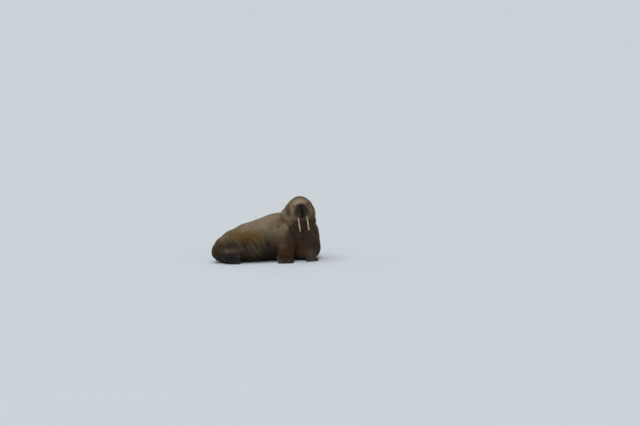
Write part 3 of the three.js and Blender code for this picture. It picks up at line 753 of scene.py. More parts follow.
def relief(points):
    """How far the skin stands out at each point, and how deep in a crease it lies from 0 to 1, which sets
    the painted shade in the creases.
    """
    head = to_head(points)
    run, _, turn = along_spine(points)
    warp = bend_of(points)
    broken = smooth_step(-0.35, 0.45, PATCHES(points, 0.12))
    face = smooth_step(0.30, 0.20, np.linalg.norm(head - np.array((0, 0.10, 0.0)), axis=1))
    off_limbs = np.ones(len(points))
    for limb in FLIPPERS.values():
        off_limbs = np.minimum(off_limbs, smooth_step(0.0, 0.06, in_blocks(limb.field, points)))

    # Each part's height, and how dark its creases are painted as shade.
    parts = []
    # Diagonal folds of the flanks, pressed up where the body bends.
    for fold in (FLANK, FAR_FLANK):
        level, strength = flank_folds(points, fold)
        parts.append((fold["high"] * strength * off_limbs * (level**1.3 * 1.4 - 1), 0.35))
    # Rings round the neck, closer and lower than the great rolls of the solids.
    along = (points - NECK_AT) @ NECK_AXIS
    neck = smooth_step(-0.20, -0.02, along) * (1 - face) * smooth_step(0.56, 0.40, along)
    rings = folds(along + warp, NECK_RINGS["pitch"], 0.9)
    parts.append((NECK_RINGS["high"] * neck * (0.35 + 0.65 * broken) * rings, 0.7))
    # The hood of the nape: a roll behind the head with a soft crease in front of it.
    upper = smooth_step(-0.30, 0.02, head[:, 2])
    ring = head[:, 1] - HOOD_CREASE["at"] - 0.3 * warp - 0.10 * np.minimum(head[:, 2], 0)
    groove = np.exp(-((ring / HOOD_CREASE["wide"]) ** 2))
    behind = np.exp(-(((ring + 0.085) / 0.055) ** 2))
    parts.append((upper * (HOOD_CREASE["roll"] * behind - HOOD_CREASE["deep"] * groove), 0.4))
    # The fold between breast and near shoulder, and those that hang down the breast.
    front = smooth_step(0.10, -0.12, points[:, 1])
    edge = off_line(points[:, [0, 2]] + 0.4 * warp[:, None], CHEST_FOLD["line"]) / CHEST_FOLD["wide"]
    lip_and_cut = 0.5 * np.exp(-((edge - 1.9) ** 2)) - np.exp(-(edge**2))
    parts.append((CHEST_FOLD["deep"] * front * lip_and_cut, 0.4))
    breast = bump_at(points, HANGING["centre"], HANGING["size"]) * off_limbs
    across = points[:, 0] * HANGING["slant"][0] + points[:, 2] * HANGING["slant"][1]
    hanging = folds(across + 1.3 * warp, HANGING_FOLDS["pitch"], 1.0)
    parts.append((HANGING_FOLDS["high"] * breast * hanging, 0.5))
    # Wrinkles across the whole body, broken up.
    wrinkle = (1 - face) * off_limbs * broken
    parts.append((WRINKLES["high"] * wrinkle * folds(run + 1.2 * warp, WRINKLES["pitch"], 0.8), 0.7))
    cross = smooth_step(-0.1, 0.5, PATCHES(points[:, ::-1], 0.17)) * (1 - face) * off_limbs
    crossing = folds(turn * 0.42 + 0.35 * run + 1.1 * warp, CROSS_WRINKLES["pitch"], 0.8)
    parts.append((CROSS_WRINKLES["high"] * cross * crossing, 0.7))
    # Creases that wander over the hide.
    calm = (1 - 0.6 * face) * (0.25 + 0.75 * off_limbs)
    for size, deep in WANDERING:
        wander = np.exp(-((WANDER(points + 0.4 * warp[:, None], size) / 0.13) ** 2))
        parts.append((-deep * wander * (0.35 + 0.65 * broken) * calm, 0.9))
    # Soft lumps of fat.
    parts.append((FAT["high"] * LUMPS(points, FAT["wide"]) * (1 - face) * off_limbs, 0.0))
    parts.append((FINE_FAT["high"] * LUMPS(points, FINE_FAT["wide"]) * (0.4 + 0.6 * off_limbs), 0.0))
    # Wrinkles of the brow and cheeks.
    brow = smooth_step(0.12, 0.02, head[:, 1]) * face * smooth_step(-0.10, 0.04, head[:, 2])
    frown = folds(head[:, 1] + 0.4 * warp, BROW_WRINKLES["pitch"], 0.9)
    parts.append((BROW_WRINKLES["high"] * brow * frown, 0.8))
    # Digits standing out of the flippers' webs, and creases across the wrists and knuckles.
    for limb in FLIPPERS.values():
        turned, out, _, _, length = limb.on_fan(points)
        near = smooth_step(0.03, 0.0, in_blocks(limb.fan_field, points))
        near = near * smooth_step(1.25, 1.0, np.abs(turned))
        digits = near * smooth_step(0.0, 0.35, out) * smooth_step(1.05, 0.85, out)
        parts.append((DIGIT_RIDGE * digits * (limb.digit(np.clip(turned, -1, 1)) - 0.6), 0.7))
        knuckles = near * smooth_step(-0.4, 0.0, out) * smooth_step(0.75, 0.45, out)
        bends = folds(out * length + 0.3 * warp, KNUCKLES["pitch"], 0.9)
        parts.append((KNUCKLES["high"] * knuckles * bends, 0.8))
    total = sum(part for part, _ in parts)
    crease = sum(shade * np.maximum(-part, 0) for part, shade in parts) / DARKEST_CREASE
    return total, np.clip(crease, 0, 1)


# Muzzle, nose, lids and ears

NOSTRIL = {
    "from": (20, 200, 48),
    "way": (0.1, 1, 0.3),
    "long": 0.019,
    "wide": 0.0065,
    "deep": 0.020,
    "bow": 0.008,
}
EAR = {"at": (150, -78, 34), "radius": 0.009, "deep": 0.016}


def cut_nostrils(points, dark):
    for side in SIDES.values():
        start = MM * np.array(NOSTRIL["from"]) * (side, 1, 1)
        way = np.array(NOSTRIL["way"]) * (side, 1, 1)
        (mouth,), (out,) = on_skin(start, way)
        level = head_way((side, 0, 0))
        up = np.cross(out, level) * -side
        q = points - mouth
        t = (q @ up) / NOSTRIL["long"]
        arc = NOSTRIL["bow"] * (1 - t * t)
        half = NOSTRIL["wide"] * np.sqrt(np.clip(1.08 - t * t, 1e-4, 1))
        off = np.abs(q @ level - arc) / half
        near = (np.abs(t) < 1.04) & (np.linalg.norm(q, axis=1) < 0.05)
        pit = np.where(near, smooth_step(1.1, 0.45, off), 0)
        rim = np.where(np.linalg.norm(q, axis=1) < 0.05, np.exp(-((off - 1.9) ** 2) / 0.7), 0)
        rim = rim * smooth_step(1.5, 0.9, np.abs(t))
        points = points + out * (0.0016 * rim - NOSTRIL["deep"] * pit)[:, None]
        # Painted shade inside the nostril.
        dark = np.maximum(dark, pit)
    return points, dark


def cut_ears(points, dark):
    for side in SIDES.values():
        place = MM * np.array(EAR["at"]) * (side, 1, 1)
        (mouth,), (out,) = on_skin(place * (0.5, 1, 1), (side, 0, 0))
        off = np.linalg.norm(points - mouth, axis=1) / EAR["radius"]
        pit = smooth_step(1.2, 0.3, off)
        rim = np.exp(-((off - 1.7) ** 2) / 0.35)
        points = points + out * (0.003 * rim - EAR["deep"] * pit)[:, None]
        # Painted shade inside the ear hole.
        dark = np.maximum(dark, pit)
    return points, dark


def fit_lids(points, dark):
    """Draws the skin over each eyeball, open along its slit."""
    for eye in EYES.values():
        q = points - eye["centre"]
        a, b, height = q @ eye["slit"], q @ eye["up"], q @ eye["out"]
        fade = smooth_step(0.052, 0.040, np.hypot(a, b)) * (height > -0.012)
        taper = np.clip(1 - (a / EYE_SLIT) ** 2, 0.04, 1) ** 0.75
        open_to = np.where(b > 0, EYE_OPENING, EYE_OPENING * 0.8)
        e = np.maximum(np.abs(b) / (open_to * taper), (np.abs(a) / EYE_SLIT) ** 2)
        ball = np.sqrt(np.maximum(EYE_RADIUS**2 - a * a - b * b, 0))
        inside = smooth_step(1.06, 0.94, e)
        off = np.hypot(a / EYE_SLIT, b / (EYE_OPENING * 1.25))
        rim = np.exp(-(((off - 1.25) / 0.25) ** 2))
        fold = np.exp(-(((off - 1.80) / 0.18) ** 2)) + 0.6 * np.exp(-(((off - 2.3) / 0.18) ** 2))
        fold = fold * (1 + 0.35 * np.tanh(b / 0.006))
        shaped = -smooth_min(-height, -(ball + LID_THICK), 0.007)
        shaped = shaped + 0.0014 * rim - 0.0026 * fold
        shaped = shaped + (ball - 0.004 - shaped) * inside
        points = points + eye["out"] * ((shaped - height) * fade)[:, None]
        dark = np.maximum(dark, fade * np.maximum(inside, smooth_step(1.6, 1.02, e) * 0.8))
    return points, dark


# Marks that colour the skin and the coat alike

# Soft spots of each mark: centre, half sizes and strength.
SPOTS = {
    "golden": [
        ((-0.60, -0.34, 0.54), (0.15, 0.30, 0.08), 1.0),
        ((-0.36, -0.32, 0.54), (0.20, 0.30, 0.12), 0.9),
        ((-0.22, -0.38, 0.46), (0.20, 0.30, 0.16), 0.8),
        ((-0.92, -0.40, 0.36), (0.06, 0.30, 0.12), 0.9),
        ((0.30, -0.20, 0.80), (0.12, 0.30, 0.07), 0.8),
        ((0.10, -0.30, 0.72), (0.08, 0.30, 0.08), 0.6),
    ],
    "deep": [
        ((-0.72, -0.45, 0.38), (0.19, 0.25, 0.12), 1.0),
        ((0.10, -0.42, 0.30), (0.22, 0.30, 0.26), 0.9),
        ((-1.00, -0.25, 0.22), (0.09, 0.30, 0.18), 0.9),
        # These three, about the head, are partly darker hair and partly painted shadow under the crown and
        # on the far side of the face.
        ((0.45, -0.20, 0.99), (0.05, 0.30, 0.12), 0.8),
        ((0.70, -0.05, 1.28), (0.30, 0.10, 0.10), 0.8),
        ((0.86, -0.25, 1.10), (0.05, 0.20, 0.07), 0.8),
    ],
    # Partly the hide's own paler hair, partly painted skylight on the upper back, neck and head.
    "grey_and_top_light": [
        ((0.12, -0.25, 0.68), (0.34, 0.50, 0.20), 0.9),
        ((0.45, -0.05, 0.92), (0.16, 0.50, 0.14), 0.6),
        ((-0.35, -0.05, 0.80), (0.30, 0.30, 0.10), 0.5),
        ((0.70, 0.20, 1.20), (0.30, 0.30, 0.12), 0.4),
    ],
    "rust": [
        ((0.38, -0.44, 0.20), (0.15, 0.16, 0.18), 0.9),
        ((0.93, -0.16, 0.93), (0.08, 0.20, 0.10), 0.6),
        ((0.67, -0.36, 0.24), (0.12, 0.20, 0.14), 0.8),
        ((-0.20, -0.40, 0.02), (0.60, 0.30, 0.05), 0.6),
        ((-1.06, -0.20, 0.36), (0.07, 0.30, 0.20), 0.6),
    ],
    "slate_and_sheen": [
        ((0.91, -0.32, 0.14), (0.15, 0.18, 0.12), 1.0),
        ((0.66, -0.36, 0.12), (0.14, 0.20, 0.12), 0.35),
        ((0.70, -0.05, 1.28), (0.30, 0.15, 0.08), 0.5),
        # A painted sheen: the thin pale band over the near hind flipper's ankle.
        ((-0.72, -0.44, 0.27), (0.18, 0.20, 0.042), 1.2),
        ((0.20, -0.44, 0.07), (0.035, 0.20, 0.08), 0.9),
    ],
    # Painted shadow near the floor under the near flank and over the tucked near hind flipper, whose web is
    # dark too.
    "inky_and_shadow": [
        ((-0.72, -0.50, 0.13), (0.30, 0.16, 0.16), 1.0),
        ((0.05, -0.38, 0.10), (0.17, 0.22, 0.20), 0.9),
        ((-0.98, -0.30, 0.04), (0.12, 0.30, 0.10), 0.6),
        ((-0.30, -0.40, 0.08), (0.30, 0.20, 0.07), 0.6),
    ],
}
# The dark oval of the muzzle, in the head's frame: its middle, half sizes, and how much it narrows upwards.
MASK = {"middle": -0.048, "half": 0.137, "tall": 0.145, "narrow": 0.26}
NOSE_MARK = {"at": (0, 0.27, 0.03), "size": (0.07, 0.08, 0.07)}
PALE_BAND = {"middle": -0.03, "radius": 0.168, "wide": 0.036}


def marks_of(points, normals, crease, dark):
    """Shares from 0 to 1 at each point, by name, from where it is on the animal."""
    head = to_head(points)
    patch = PATCHES(points, 0.21) * 0.6 + PATCHES(points, 0.09) * 0.4
    mottle = GRAIN(points, 0.040) * 0.55 + GRAIN(points, 0.018) * 0.45
    noise = patch * 0.6 + mottle * 0.4
    bare = np.zeros(len(points))
    for limb in FLIPPERS.values():
        bare = np.maximum(bare, smooth_step(0.045, -0.004, in_blocks(limb.fan_field, points) + 0.02 * noise))
    nose = bump_at(head, NOSE_MARK["at"], NOSE_MARK["size"])
    # The muzzle's dark mask, and the paler band round it: brow, near cheek and, flushed, the far cheek. The
    # band is partly paler hair and partly painted light, strongest on top.
    across = np.abs(head[:, 0]) / (MASK["half"] - MASK["narrow"] * np.clip(head[:, 2] + 0.03, 0, 0.14))
    off_mask = np.hypot(across, (head[:, 2] - MASK["middle"]) / MASK["tall"]) + 0.05 * noise
    ahead = smooth_step(0.060, 0.110, head[:, 1])
    muzzle = smooth_step(1.14, 0.90, off_mask) * ahead
    off_band = np.hypot(head[:, 0], head[:, 2] - PALE_BAND["middle"]) + 0.006 * noise - PALE_BAND["radius"]
    band = np.exp(-((off_band / PALE_BAND["wide"]) ** 2))
    band = band * smooth_step(-0.08, 0.02, head[:, 1]) * (1 - muzzle)
    brow = smooth_step(-0.02, 0.07, head[:, 2])
    near = smooth_step(0.0, 0.06, head[:, 0]) * smooth_step(-0.20, -0.12, head[:, 2])
    far = smooth_step(0.0, -0.06, head[:, 0]) * smooth_step(-0.18, -0.08, head[:, 2])
    # Darker towards the bottom: partly wet hide, partly painted shade.
    low = smooth_step(0.74, 0.08, points[:, 2] + 0.10 * noise)
    breast = smooth_step(0.28, 0.46, points[:, 0] + 0.06 * noise)
    breast = breast * smooth_step(0.10, -0.12, points[:, 1] + 0.05 * noise)
    breast = breast * smooth_step(0.98, 0.78, points[:, 2] + 0.3 * smooth_step(0.60, 0.35, points[:, 0]))
    marks = {
        "patch": 0.5 + 0.5 * patch,
        "mottle": 0.5 + 0.5 * mottle,
        "bare": bare,
        "muzzle": muzzle,
        "nose": nose,
        "wet": low,
        "breast": breast,
        "pale": band * np.maximum(brow * (1 - 0.8 * smooth_step(-0.06, -0.10, head[:, 0])), 0.55 * near),
        "flush": band * far * (1 - 0.6 * brow),
        "crease": crease,
        "dark": dark,
    }
    for name, spots in SPOTS.items():
        marks[name] = sum(high * bump_at(points, at, size) for at, size, high in spots)
    for eye in EYES.values():
        marks["deep"] = marks["deep"] + 0.7 * bump_at(points, eye["centre"], (0.042, 0.042, 0.042))
    # Painted light from above: hide that faces up, high on the body, is made paler.
    painted_top_light = smooth_step(0.45, 0.95, normals[:, 2]) * smooth_step(0.40, 0.70, points[:, 2])
    marks["grey_and_top_light"] = marks["grey_and_top_light"] + 0.6 * painted_top_light
    # Painted shade in the flank folds: less gold and more deep brown in their valleys.
    level, strength = flank_folds(points, FLANK)
    marks["golden"] = marks["golden"] * (1 - 0.7 * strength * (1 - level**1.5))
    marks["deep"] = marks["deep"] + 0.85 * strength * (1 - level) ** 1.2
    return {name: np.clip(values, 0, 1) for name, values in marks.items()}


def write_marks(mesh, marks):
    for name, values in marks.items():
        layer = mesh.attributes.new(name, "FLOAT", "POINT")
        layer.data.foreach_set("value", np.ascontiguousarray(values, np.float32))


# Finishes

class Value:
    """A number that varies over a surface. Operators add Math nodes to its finish."""

    def __init__(self, finish, socket):
        self.finish = finish
        self.socket = socket

    def math(self, operation, *others, **settings):
        sockets = dict(enumerate([self, *others]))
        made = self.finish.node("ShaderNodeMath", {"operation": operation, **settings}, sockets)
        return Value(self.finish, made.outputs[0])

    def __add__(self, other):
        return self.math("ADD", other)

    def __mul__(self, other):
        return self.math("MULTIPLY", other)

    def __sub__(self, other):
        return self.math("SUBTRACT", other)

    def __rsub__(self, other):
        return (self * -1.0) + other

    __radd__ = __add__
    __rmul__ = __mul__

    def limited(self):
        return self.math("ADD", 0.0, use_clamp=True)


class Finish:
    """One material, built of nodes on a Principled shader."""

    def __init__(self, name, **constants):
        self.material = bpy.data.materials.new(name)
        self.material.use_nodes = True
        self.tree = self.material.node_tree
        self.shader = self.tree.nodes["Principled BSDF"]
        for socket, value in constants.items():
            self.shader.inputs[socket.replace("_", " ")].default_value = value
        self.where = self.node("ShaderNodeTexCoord").outputs["Object"]

    def node(self, kind, settings=None, sockets=None):
        made = self.tree.nodes.new(kind)
        for name, value in (settings or {}).items():
            setattr(made, name, value)
        for name, value in (sockets or {}).items():
            value = value.socket if isinstance(value, Value) else value
            if isinstance(value, bpy.types.NodeSocket):
                self.tree.links.new(value, made.inputs[name])
            else:
                made.inputs[name].default_value = value
        return made

    def mark(self, name):
        return Value(self, self.node("ShaderNodeAttribute", {"attribute_name": name}).outputs["Fac"])

    def noise(self, scale, detail, stretch=None):
        sockets = {"Vector": self.stretched(stretch), "Scale": scale, "Detail": detail, "Roughness": 0.55}
        return Value(self, self.node("ShaderNodeTexNoise", {}, sockets).outputs["Fac"])

    def cracks(self, scale, stretch=None):
        """How far a place is from the nearest crack of a crazed surface."""
        where = self.stretched(stretch)
        bent = self.node("ShaderNodeTexNoise", {}, {"Vector": where, "Scale": scale * 0.6, "Detail": 0.0})
        sockets = {0: bent.outputs["Color"], "Scale": 0.9 / scale}
        shift = self.node("ShaderNodeVectorMath", {"operation": "SCALE"}, sockets)
        moved = self.node("ShaderNodeVectorMath", {"operation": "ADD"}, {0: where, 1: shift.outputs[0]})
        sockets = {"Vector": moved.outputs[0], "Scale": scale}
        made = self.node("ShaderNodeTexVoronoi", {"feature": "DISTANCE_TO_EDGE"}, sockets)
        return Value(self, made.outputs["Distance"])

    def stretched(self, scale):
        """The surface's own places, stretched if a scale is given."""
        if scale is None:
            return self.where
        return self.node("ShaderNodeMapping", {}, {"Vector": self.where, "Scale": scale}).outputs[0]

    def ramp(self, value, low, high):
        sockets = {"Value": value, "From Min": low, "From Max": high}
        made = self.node("ShaderNodeMapRange", {"interpolation_type": "SMOOTHSTEP"}, sockets)
        return Value(self, made.outputs["Result"])

    def tint(self, colour, other, share):
        sockets = {0: share, 6: as_colour(colour), 7: as_colour(other)}
        return self.node("ShaderNodeMix", {"data_type": "RGBA"}, sockets).outputs[2]

    def raised(self, height, depth, under=None):
        sockets = {"Height": height, "Distance": depth, "Strength": 1.0}
        if under is not None:
            sockets["Normal"] = under
        return self.node("ShaderNodeBump", {}, sockets).outputs["Normal"]

    def set(self, **sockets):
        for name, value in sockets.items():
            value = value.socket if isinstance(value, Value) else value
            self.tree.links.new(value, self.shader.inputs[name.replace("_", " ")])
        return self.material


def linear(channel):
    channel /= 255
    return channel / 12.92 if channel <= 0.04045 else ((channel + 0.055) / 1.055) ** 2.4


def as_colour(colour):
    """A socket as it is, or a colour of three sRGB numbers from 0 to 255 as the shader takes it."""
    return colour if isinstance(colour, bpy.types.NodeSocket) else (*map(linear, colour), 1)


# Colours of the animal in plain light, sRGB, and of the shade, shadow, sheen and light painted onto it.
TAN = (140, 121, 93)
BROWN = (102, 80, 48)
DEEP_BROWN = (50, 35, 19)
GOLD = (110, 77, 28)
PALE = (159, 142, 121)
GREY_AND_TOP_LIGHT = (149, 136, 114)
BREAST = (57, 39, 26)
RUST = (90, 52, 16)
SLATE_AND_SHEEN = (112, 98, 83)
FLIPPER = (50, 43, 38)
FLIPPER_PALE = (96, 88, 80)
WET_AND_LOW_SHADE = (34, 24, 10)
INKY_AND_SHADOW = (14, 17, 18)
MUZZLE = (40, 35, 29)
NOSE = (30, 29, 30)
CREASE_SHADE = (36, 26, 20)
PINK = (140, 106, 92)
PIT = (22, 16, 15)
PUPIL = (6, 5, 5)
IRIS = (52, 32, 20)
IRIS_STREAK = (24, 15, 11)
IRIS_RIM = (20, 12, 10)
EYE_WHITE = (132, 84, 72)
EYE_VEIN = (96, 42, 36)
IVORY = (218, 203, 181)
IVORY_STREAK = (186, 165, 139)
IVORY_STAIN = (150, 118, 88)
TUSK_ROOT = (104, 72, 52)
TUSK_CRACK = (110, 82, 58)
WHISKER_ROOT = (84, 66, 46)
WHISKER_TIP = (150, 126, 92)
NAIL_DARK = (58, 46, 38)
NAIL_PALE = (112, 94, 76)
# Where each part of the eyeball ends, as shares of EYE_TURN off its axis: a soft edge's start and end.
EYE_TURN = 1.6  # radians
PUPIL_EDGE = (0.16, 0.20)
IRIS_EDGE = (0.34, 0.38)
RIM_EDGE = (0.42, 0.47)


def hide_colour(finish):
    """The colour of the hide at each place, the same for skin and coat, with shade, shadow and light painted
    in by some marks.
    """
    patch, mottle = finish.mark("patch"), finish.mark("mottle")
    colour = finish.tint(BROWN, TAN, finish.ramp(patch + mottle * 0.45, 0.20, 1.15))
    # Paler hide: partly its own, partly painted light on up-facing places and the upper back.
    colour = finish.tint(colour, GREY_AND_TOP_LIGHT, finish.mark("grey_and_top_light") * (0.55 + 0.4 * mottle))
    colour = finish.tint(colour, GOLD, finish.mark("golden") * (0.45 + 0.75 * mottle))
    colour = finish.tint(colour, BREAST, finish.mark("breast") * (0.70 + 0.3 * mottle))
    # Deep brown: patches of the hide, painted shadow about the head, and painted shade in the flank folds'
    # valleys.
    colour = finish.tint(colour, DEEP_BROWN, finish.mark("deep") * (0.6 + 0.4 * patch))
    # The paler band round the muzzle: partly paler hair, partly painted light from above.
    colour = finish.tint(colour, PALE, finish.mark("pale") * 0.8)
    colour = finish.tint(colour, PINK, finish.mark("flush") * 0.7)
    # Darker towards the bottom: partly wet hide, partly painted shade.
    colour = finish.tint(colour, WET_AND_LOW_SHADE, finish.mark("wet") * (0.65 + 0.35 * mottle))
    colour = finish.tint(colour, RUST, finish.mark("rust") * (0.35 + 0.5 * mottle))
    colour = finish.tint(colour, MUZZLE, finish.mark("muzzle") * 0.95)
    colour = finish.tint(colour, NOSE, finish.mark("nose"))
    flipper = finish.tint(FLIPPER, FLIPPER_PALE, finish.ramp(mottle, 0.50, 0.90))
    colour = finish.tint(colour, flipper, finish.mark("bare") * 0.9)
    # Painted shadow near the floor and over the tucked hind flipper, near black.
    colour = finish.tint(colour, INKY_AND_SHADOW, finish.mark("inky_and_shadow") * (1.1 - 0.3 * mottle))
    # Paler flipper and crown tone, with a painted sheen band over the near hind flipper's ankle.
    return finish.tint(colour, SLATE_AND_SHEEN, finish.mark("slate_and_sheen") * (0.35 + 0.6 * mottle))


def skin_finish():
    finish = Finish("hide_skin", Specular_IOR_Level=0.15)
    bare, wet, mottle = finish.mark("bare"), finish.mark("wet"), finish.mark("mottle")
    worn = 0.30 + 0.70 * (bare + finish.mark("muzzle")).limited()
    wander = finish.noise(26.0, 2.0)
    wrinkles = finish.ramp((wander - 0.5).math("ABSOLUTE"), 0.0, 0.070)
    crazing = finish.ramp(finish.cracks(70.0), 0.0, 0.12)
    grain = finish.noise(190.0, 2.0)
    colour = hide_colour(finish)
    colour = finish.tint(colour, DEEP_BROWN, finish.ramp(grain, 0.52, 0.70) * 0.35)
    # Painted shade in the fine wrinkles and cracks, stronger on bare skin.
    colour = finish.tint(colour, CREASE_SHADE, ((1 - wrinkles) * 0.30 + (1 - crazing) * 0.16) * worn)
    # Painted shade in the creases of the relief.
    colour = finish.tint(colour, CREASE_SHADE, finish.mark("crease") * 0.70)
    # Painted shade in the nostrils and ear holes, and darker lids about the eyes.
    colour = finish.tint(colour, PIT, finish.mark("dark"))
    rough = 0.70 - 0.28 * wet - 0.16 * bare - 0.24 * finish.mark("nose") + 0.16 * (mottle - 0.5)
    height = (0.0013 * wrinkles + 0.0008 * crazing) * worn + 0.0013 * grain
    return finish.set(Base_Color=colour, Roughness=rough.limited(), Normal=finish.raised(height, 1.0))


def coat_finish():
    finish = Finish("short_coat", Specular_IOR_Level=0.07)
    # Paler hair tips as painted light, except low down and on the muzzle.
    painted_tip_light = (1 - finish.mark("wet")) * (1 - finish.mark("muzzle"))
    colour = finish.tint(hide_colour(finish), PALE, 0.38 * finish.mark("tip") * painted_tip_light)
    rough = 0.64 - 0.22 * finish.mark("wet") + 0.10 * (finish.mark("mottle") - 0.5)
    return finish.set(Base_Color=colour, Roughness=rough)


def eye_finish():
    finish = Finish("eye_wet", Specular_IOR_Level=0.4, Coat_Weight=0.2, Coat_Roughness=0.03)
    off = finish.mark("off_axis")
    streaks = finish.noise(420.0, 3.0)
    iris = finish.tint(IRIS, IRIS_STREAK, finish.ramp(streaks, 0.4, 0.65))
    colour = finish.tint(PUPIL, iris, finish.ramp(off, *PUPIL_EDGE))
    colour = finish.tint(colour, IRIS_RIM, finish.ramp(off, *IRIS_EDGE))
    white = finish.tint(EYE_WHITE, EYE_VEIN, finish.ramp(streaks, 0.45, 0.6))
    colour = finish.tint(colour, white, finish.ramp(off, *RIM_EDGE))
    rough = 0.10 + 0.08 * streaks
    return finish.set(Base_Color=colour, Roughness=rough)


def tusk_finish():
    finish = Finish("tusk_ivory", Specular_IOR_Level=0.5, Coat_Weight=0.15, Coat_Roughness=0.3)
    root = finish.mark("root")
    streaks = finish.noise(18.0, 5.0, (6.0, 6.0, 0.7))
    stains = finish.noise(24.0, 4.0)
    cracks = finish.ramp(finish.cracks(26.0, (3.0, 3.0, 0.35)), 0.0, 0.035)
    colour = finish.tint(IVORY, IVORY_STREAK, finish.ramp(streaks, 0.42, 0.70))
    colour = finish.tint(colour, IVORY_STAIN, finish.ramp(stains, 0.52, 0.75) * 0.40)
    colour = finish.tint(colour, TUSK_ROOT, finish.ramp(root, 0.1, 0.95) * 0.85)
    colour = finish.tint(colour, TUSK_CRACK, (1 - cracks) * 0.4)
    rough = 0.30 + 0.25 * streaks + 0.15 * root
    normal = finish.raised(cracks, 0.0006, finish.raised(streaks, 0.0008))
    return finish.set(Base_Color=colour, Roughness=rough, Normal=normal)


def whisker_finish():
    finish = Finish("whisker_horn", Specular_IOR_Level=0.5)
    tip = finish.mark("tip")
    streaks = finish.noise(160.0, 3.0)
    colour = finish.tint(WHISKER_ROOT, WHISKER_TIP, finish.ramp(tip + (streaks - 0.5) * 0.5, 0.1, 0.95))
    rough = 0.34 + 0.2 * streaks
    return finish.set(Base_Color=colour, Roughness=rough)


def nail_finish():
    finish = Finish("nail_horn", Specular_IOR_Level=0.5)
    streaks = finish.noise(120.0, 4.0)
    colour = finish.tint(NAIL_DARK, NAIL_PALE, finish.ramp(streaks, 0.4, 0.7))
    rough = 0.34 + 0.2 * streaks
    return finish.set(Base_Color=colour, Roughness=rough, Normal=finish.raised(streaks, 0.0008))


# Pieces

def add_piece(name, mesh, material):
    piece = bpy.data.objects.new(name, mesh)
    bpy.context.collection.objects.link(piece)
    mesh.materials.clear()
    mesh.materials.append(material)
    mesh.shade_smooth()
    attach(piece, "root")
    return piece


def tube_rings(centres, sides, across, deep, start):
    """Points of a tube's rings, and its faces with one on each end. Corners are numbered from start."""
    turns = np.linspace(0, 2 * np.pi, sides, endpoint=False)[None, :, None]
    points = centres[:, None] + across[:, None] * np.cos(turns) + deep[:, None] * np.sin(turns)
    rows = np.arange(len(centres) - 1)[:, None] * sides
    near = np.arange(sides)[None]
    far = (near + 1) % sides
    quads = np.stack([rows + near, rows + far, rows + far + sides, rows + near + sides], axis=-1)
    last = (len(centres) - 1) * sides
    caps = [np.arange(sides)[::-1] + start, np.arange(sides) + last + start]
    faces = [*(quads.reshape(-1, 4) + start), *caps]
    return points.reshape(-1, 3), faces


TUSK = {"at": (88, 214, -110), "long": 0.345, "wide": 0.017, "deep": 0.022, "lean": rad(9), "sweep": rad(15)}
TUSK_RINGS, TUSK_SIDES = 70, 32


def make_tusk(name, side, solid, material):
    """An ivory cone, oval and swept back, with shallow flutes and a worn round tip."""
    bend = TUSK["long"] / TUSK["sweep"]
    t = np.linspace(0, 1, TUSK_RINGS)
    t = np.where(t > 0.9, 0.9 + 0.1 * np.sin((t - 0.9) / 0.1 * np.pi / 2), t)
    turn = t * TUSK["sweep"] - TUSK["lean"]
    at = MM * np.array(TUSK["at"])
    centres = np.stack([
        np.full_like(t, side * at[0]),
        at[1] + bend * (np.cos(turn) - math.cos(TUSK["lean"])),
        at[2] - bend * (np.sin(turn) + math.sin(TUSK["lean"])),
    ], axis=1)
    tip = np.sqrt(np.clip(1 - ((t - 0.955) / 0.045) ** 2, 0, 1))
    size = np.sqrt(1 - t * 0.62) * np.where(t > 0.955, np.maximum(tip, 0.02), 1)
    across = np.stack([TUSK["wide"] * size, 0 * t, 0 * t], axis=1)
    deep = np.stack([0 * t, np.cos(turn) * TUSK["deep"] * size, -np.sin(turn) * TUSK["deep"] * size], axis=1)
    points, faces = tube_rings(centres, TUSK_SIDES, across, deep, 0)
    ring = np.repeat(centres, TUSK_SIDES, axis=0)
    around = np.tile(np.linspace(0, 2 * np.pi, TUSK_SIDES, endpoint=False), TUSK_RINGS)
    flutes = 0.012 * np.cos(7 * around + 1.3 * side) + 0.02 * WARP(points + side, 0.03)
    points = from_head(ring + (points - ring) * (1 + flutes)[:, None])
    if side == LEFT:
        faces = [face[::-1] for face in faces]
    mesh = mesh_of(name, points, faces)
    write_marks(mesh, {"root": np.repeat(smooth_step(0.42, 0.0, t), TUSK_SIDES)})
    tusk = add_piece(name, mesh, material)
    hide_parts(solid)


def make_eye(name, material):
    eye = EYES[name]
    net = bmesh.new()
    bmesh.ops.create_uvsphere(net, u_segments=48, v_segments=32, radius=EYE_RADIUS)
    mesh = bpy.data.meshes.new(f"eye_{name}")
    net.to_mesh(mesh)
    net.free()
    ball = places_of(mesh)
    axes = np.stack([eye["slit"], eye["up"], eye["out"]], axis=1)
    bulge = 0.0012 * smooth_step(0.86, 1.0, ball[:, 2] / EYE_RADIUS)
    write_marks(mesh, {"off_axis": np.arccos(np.clip(ball[:, 2] / EYE_RADIUS, -1, 1)) / EYE_TURN})
    ball[:, 2] += bulge
    place_mesh(mesh, eye["centre"] + ball @ axes.T)
    piece = add_piece(f"eyeball_{name}", mesh, material)
    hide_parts(f"eye_{name}")


WHISKERS = {"rows": 15, "per_row": 16, "thick": 0.0010, "short": 0.012, "long": 0.100, "root": 0.008}
WHISKER_RINGS, WHISKER_SIDES = 7, 5


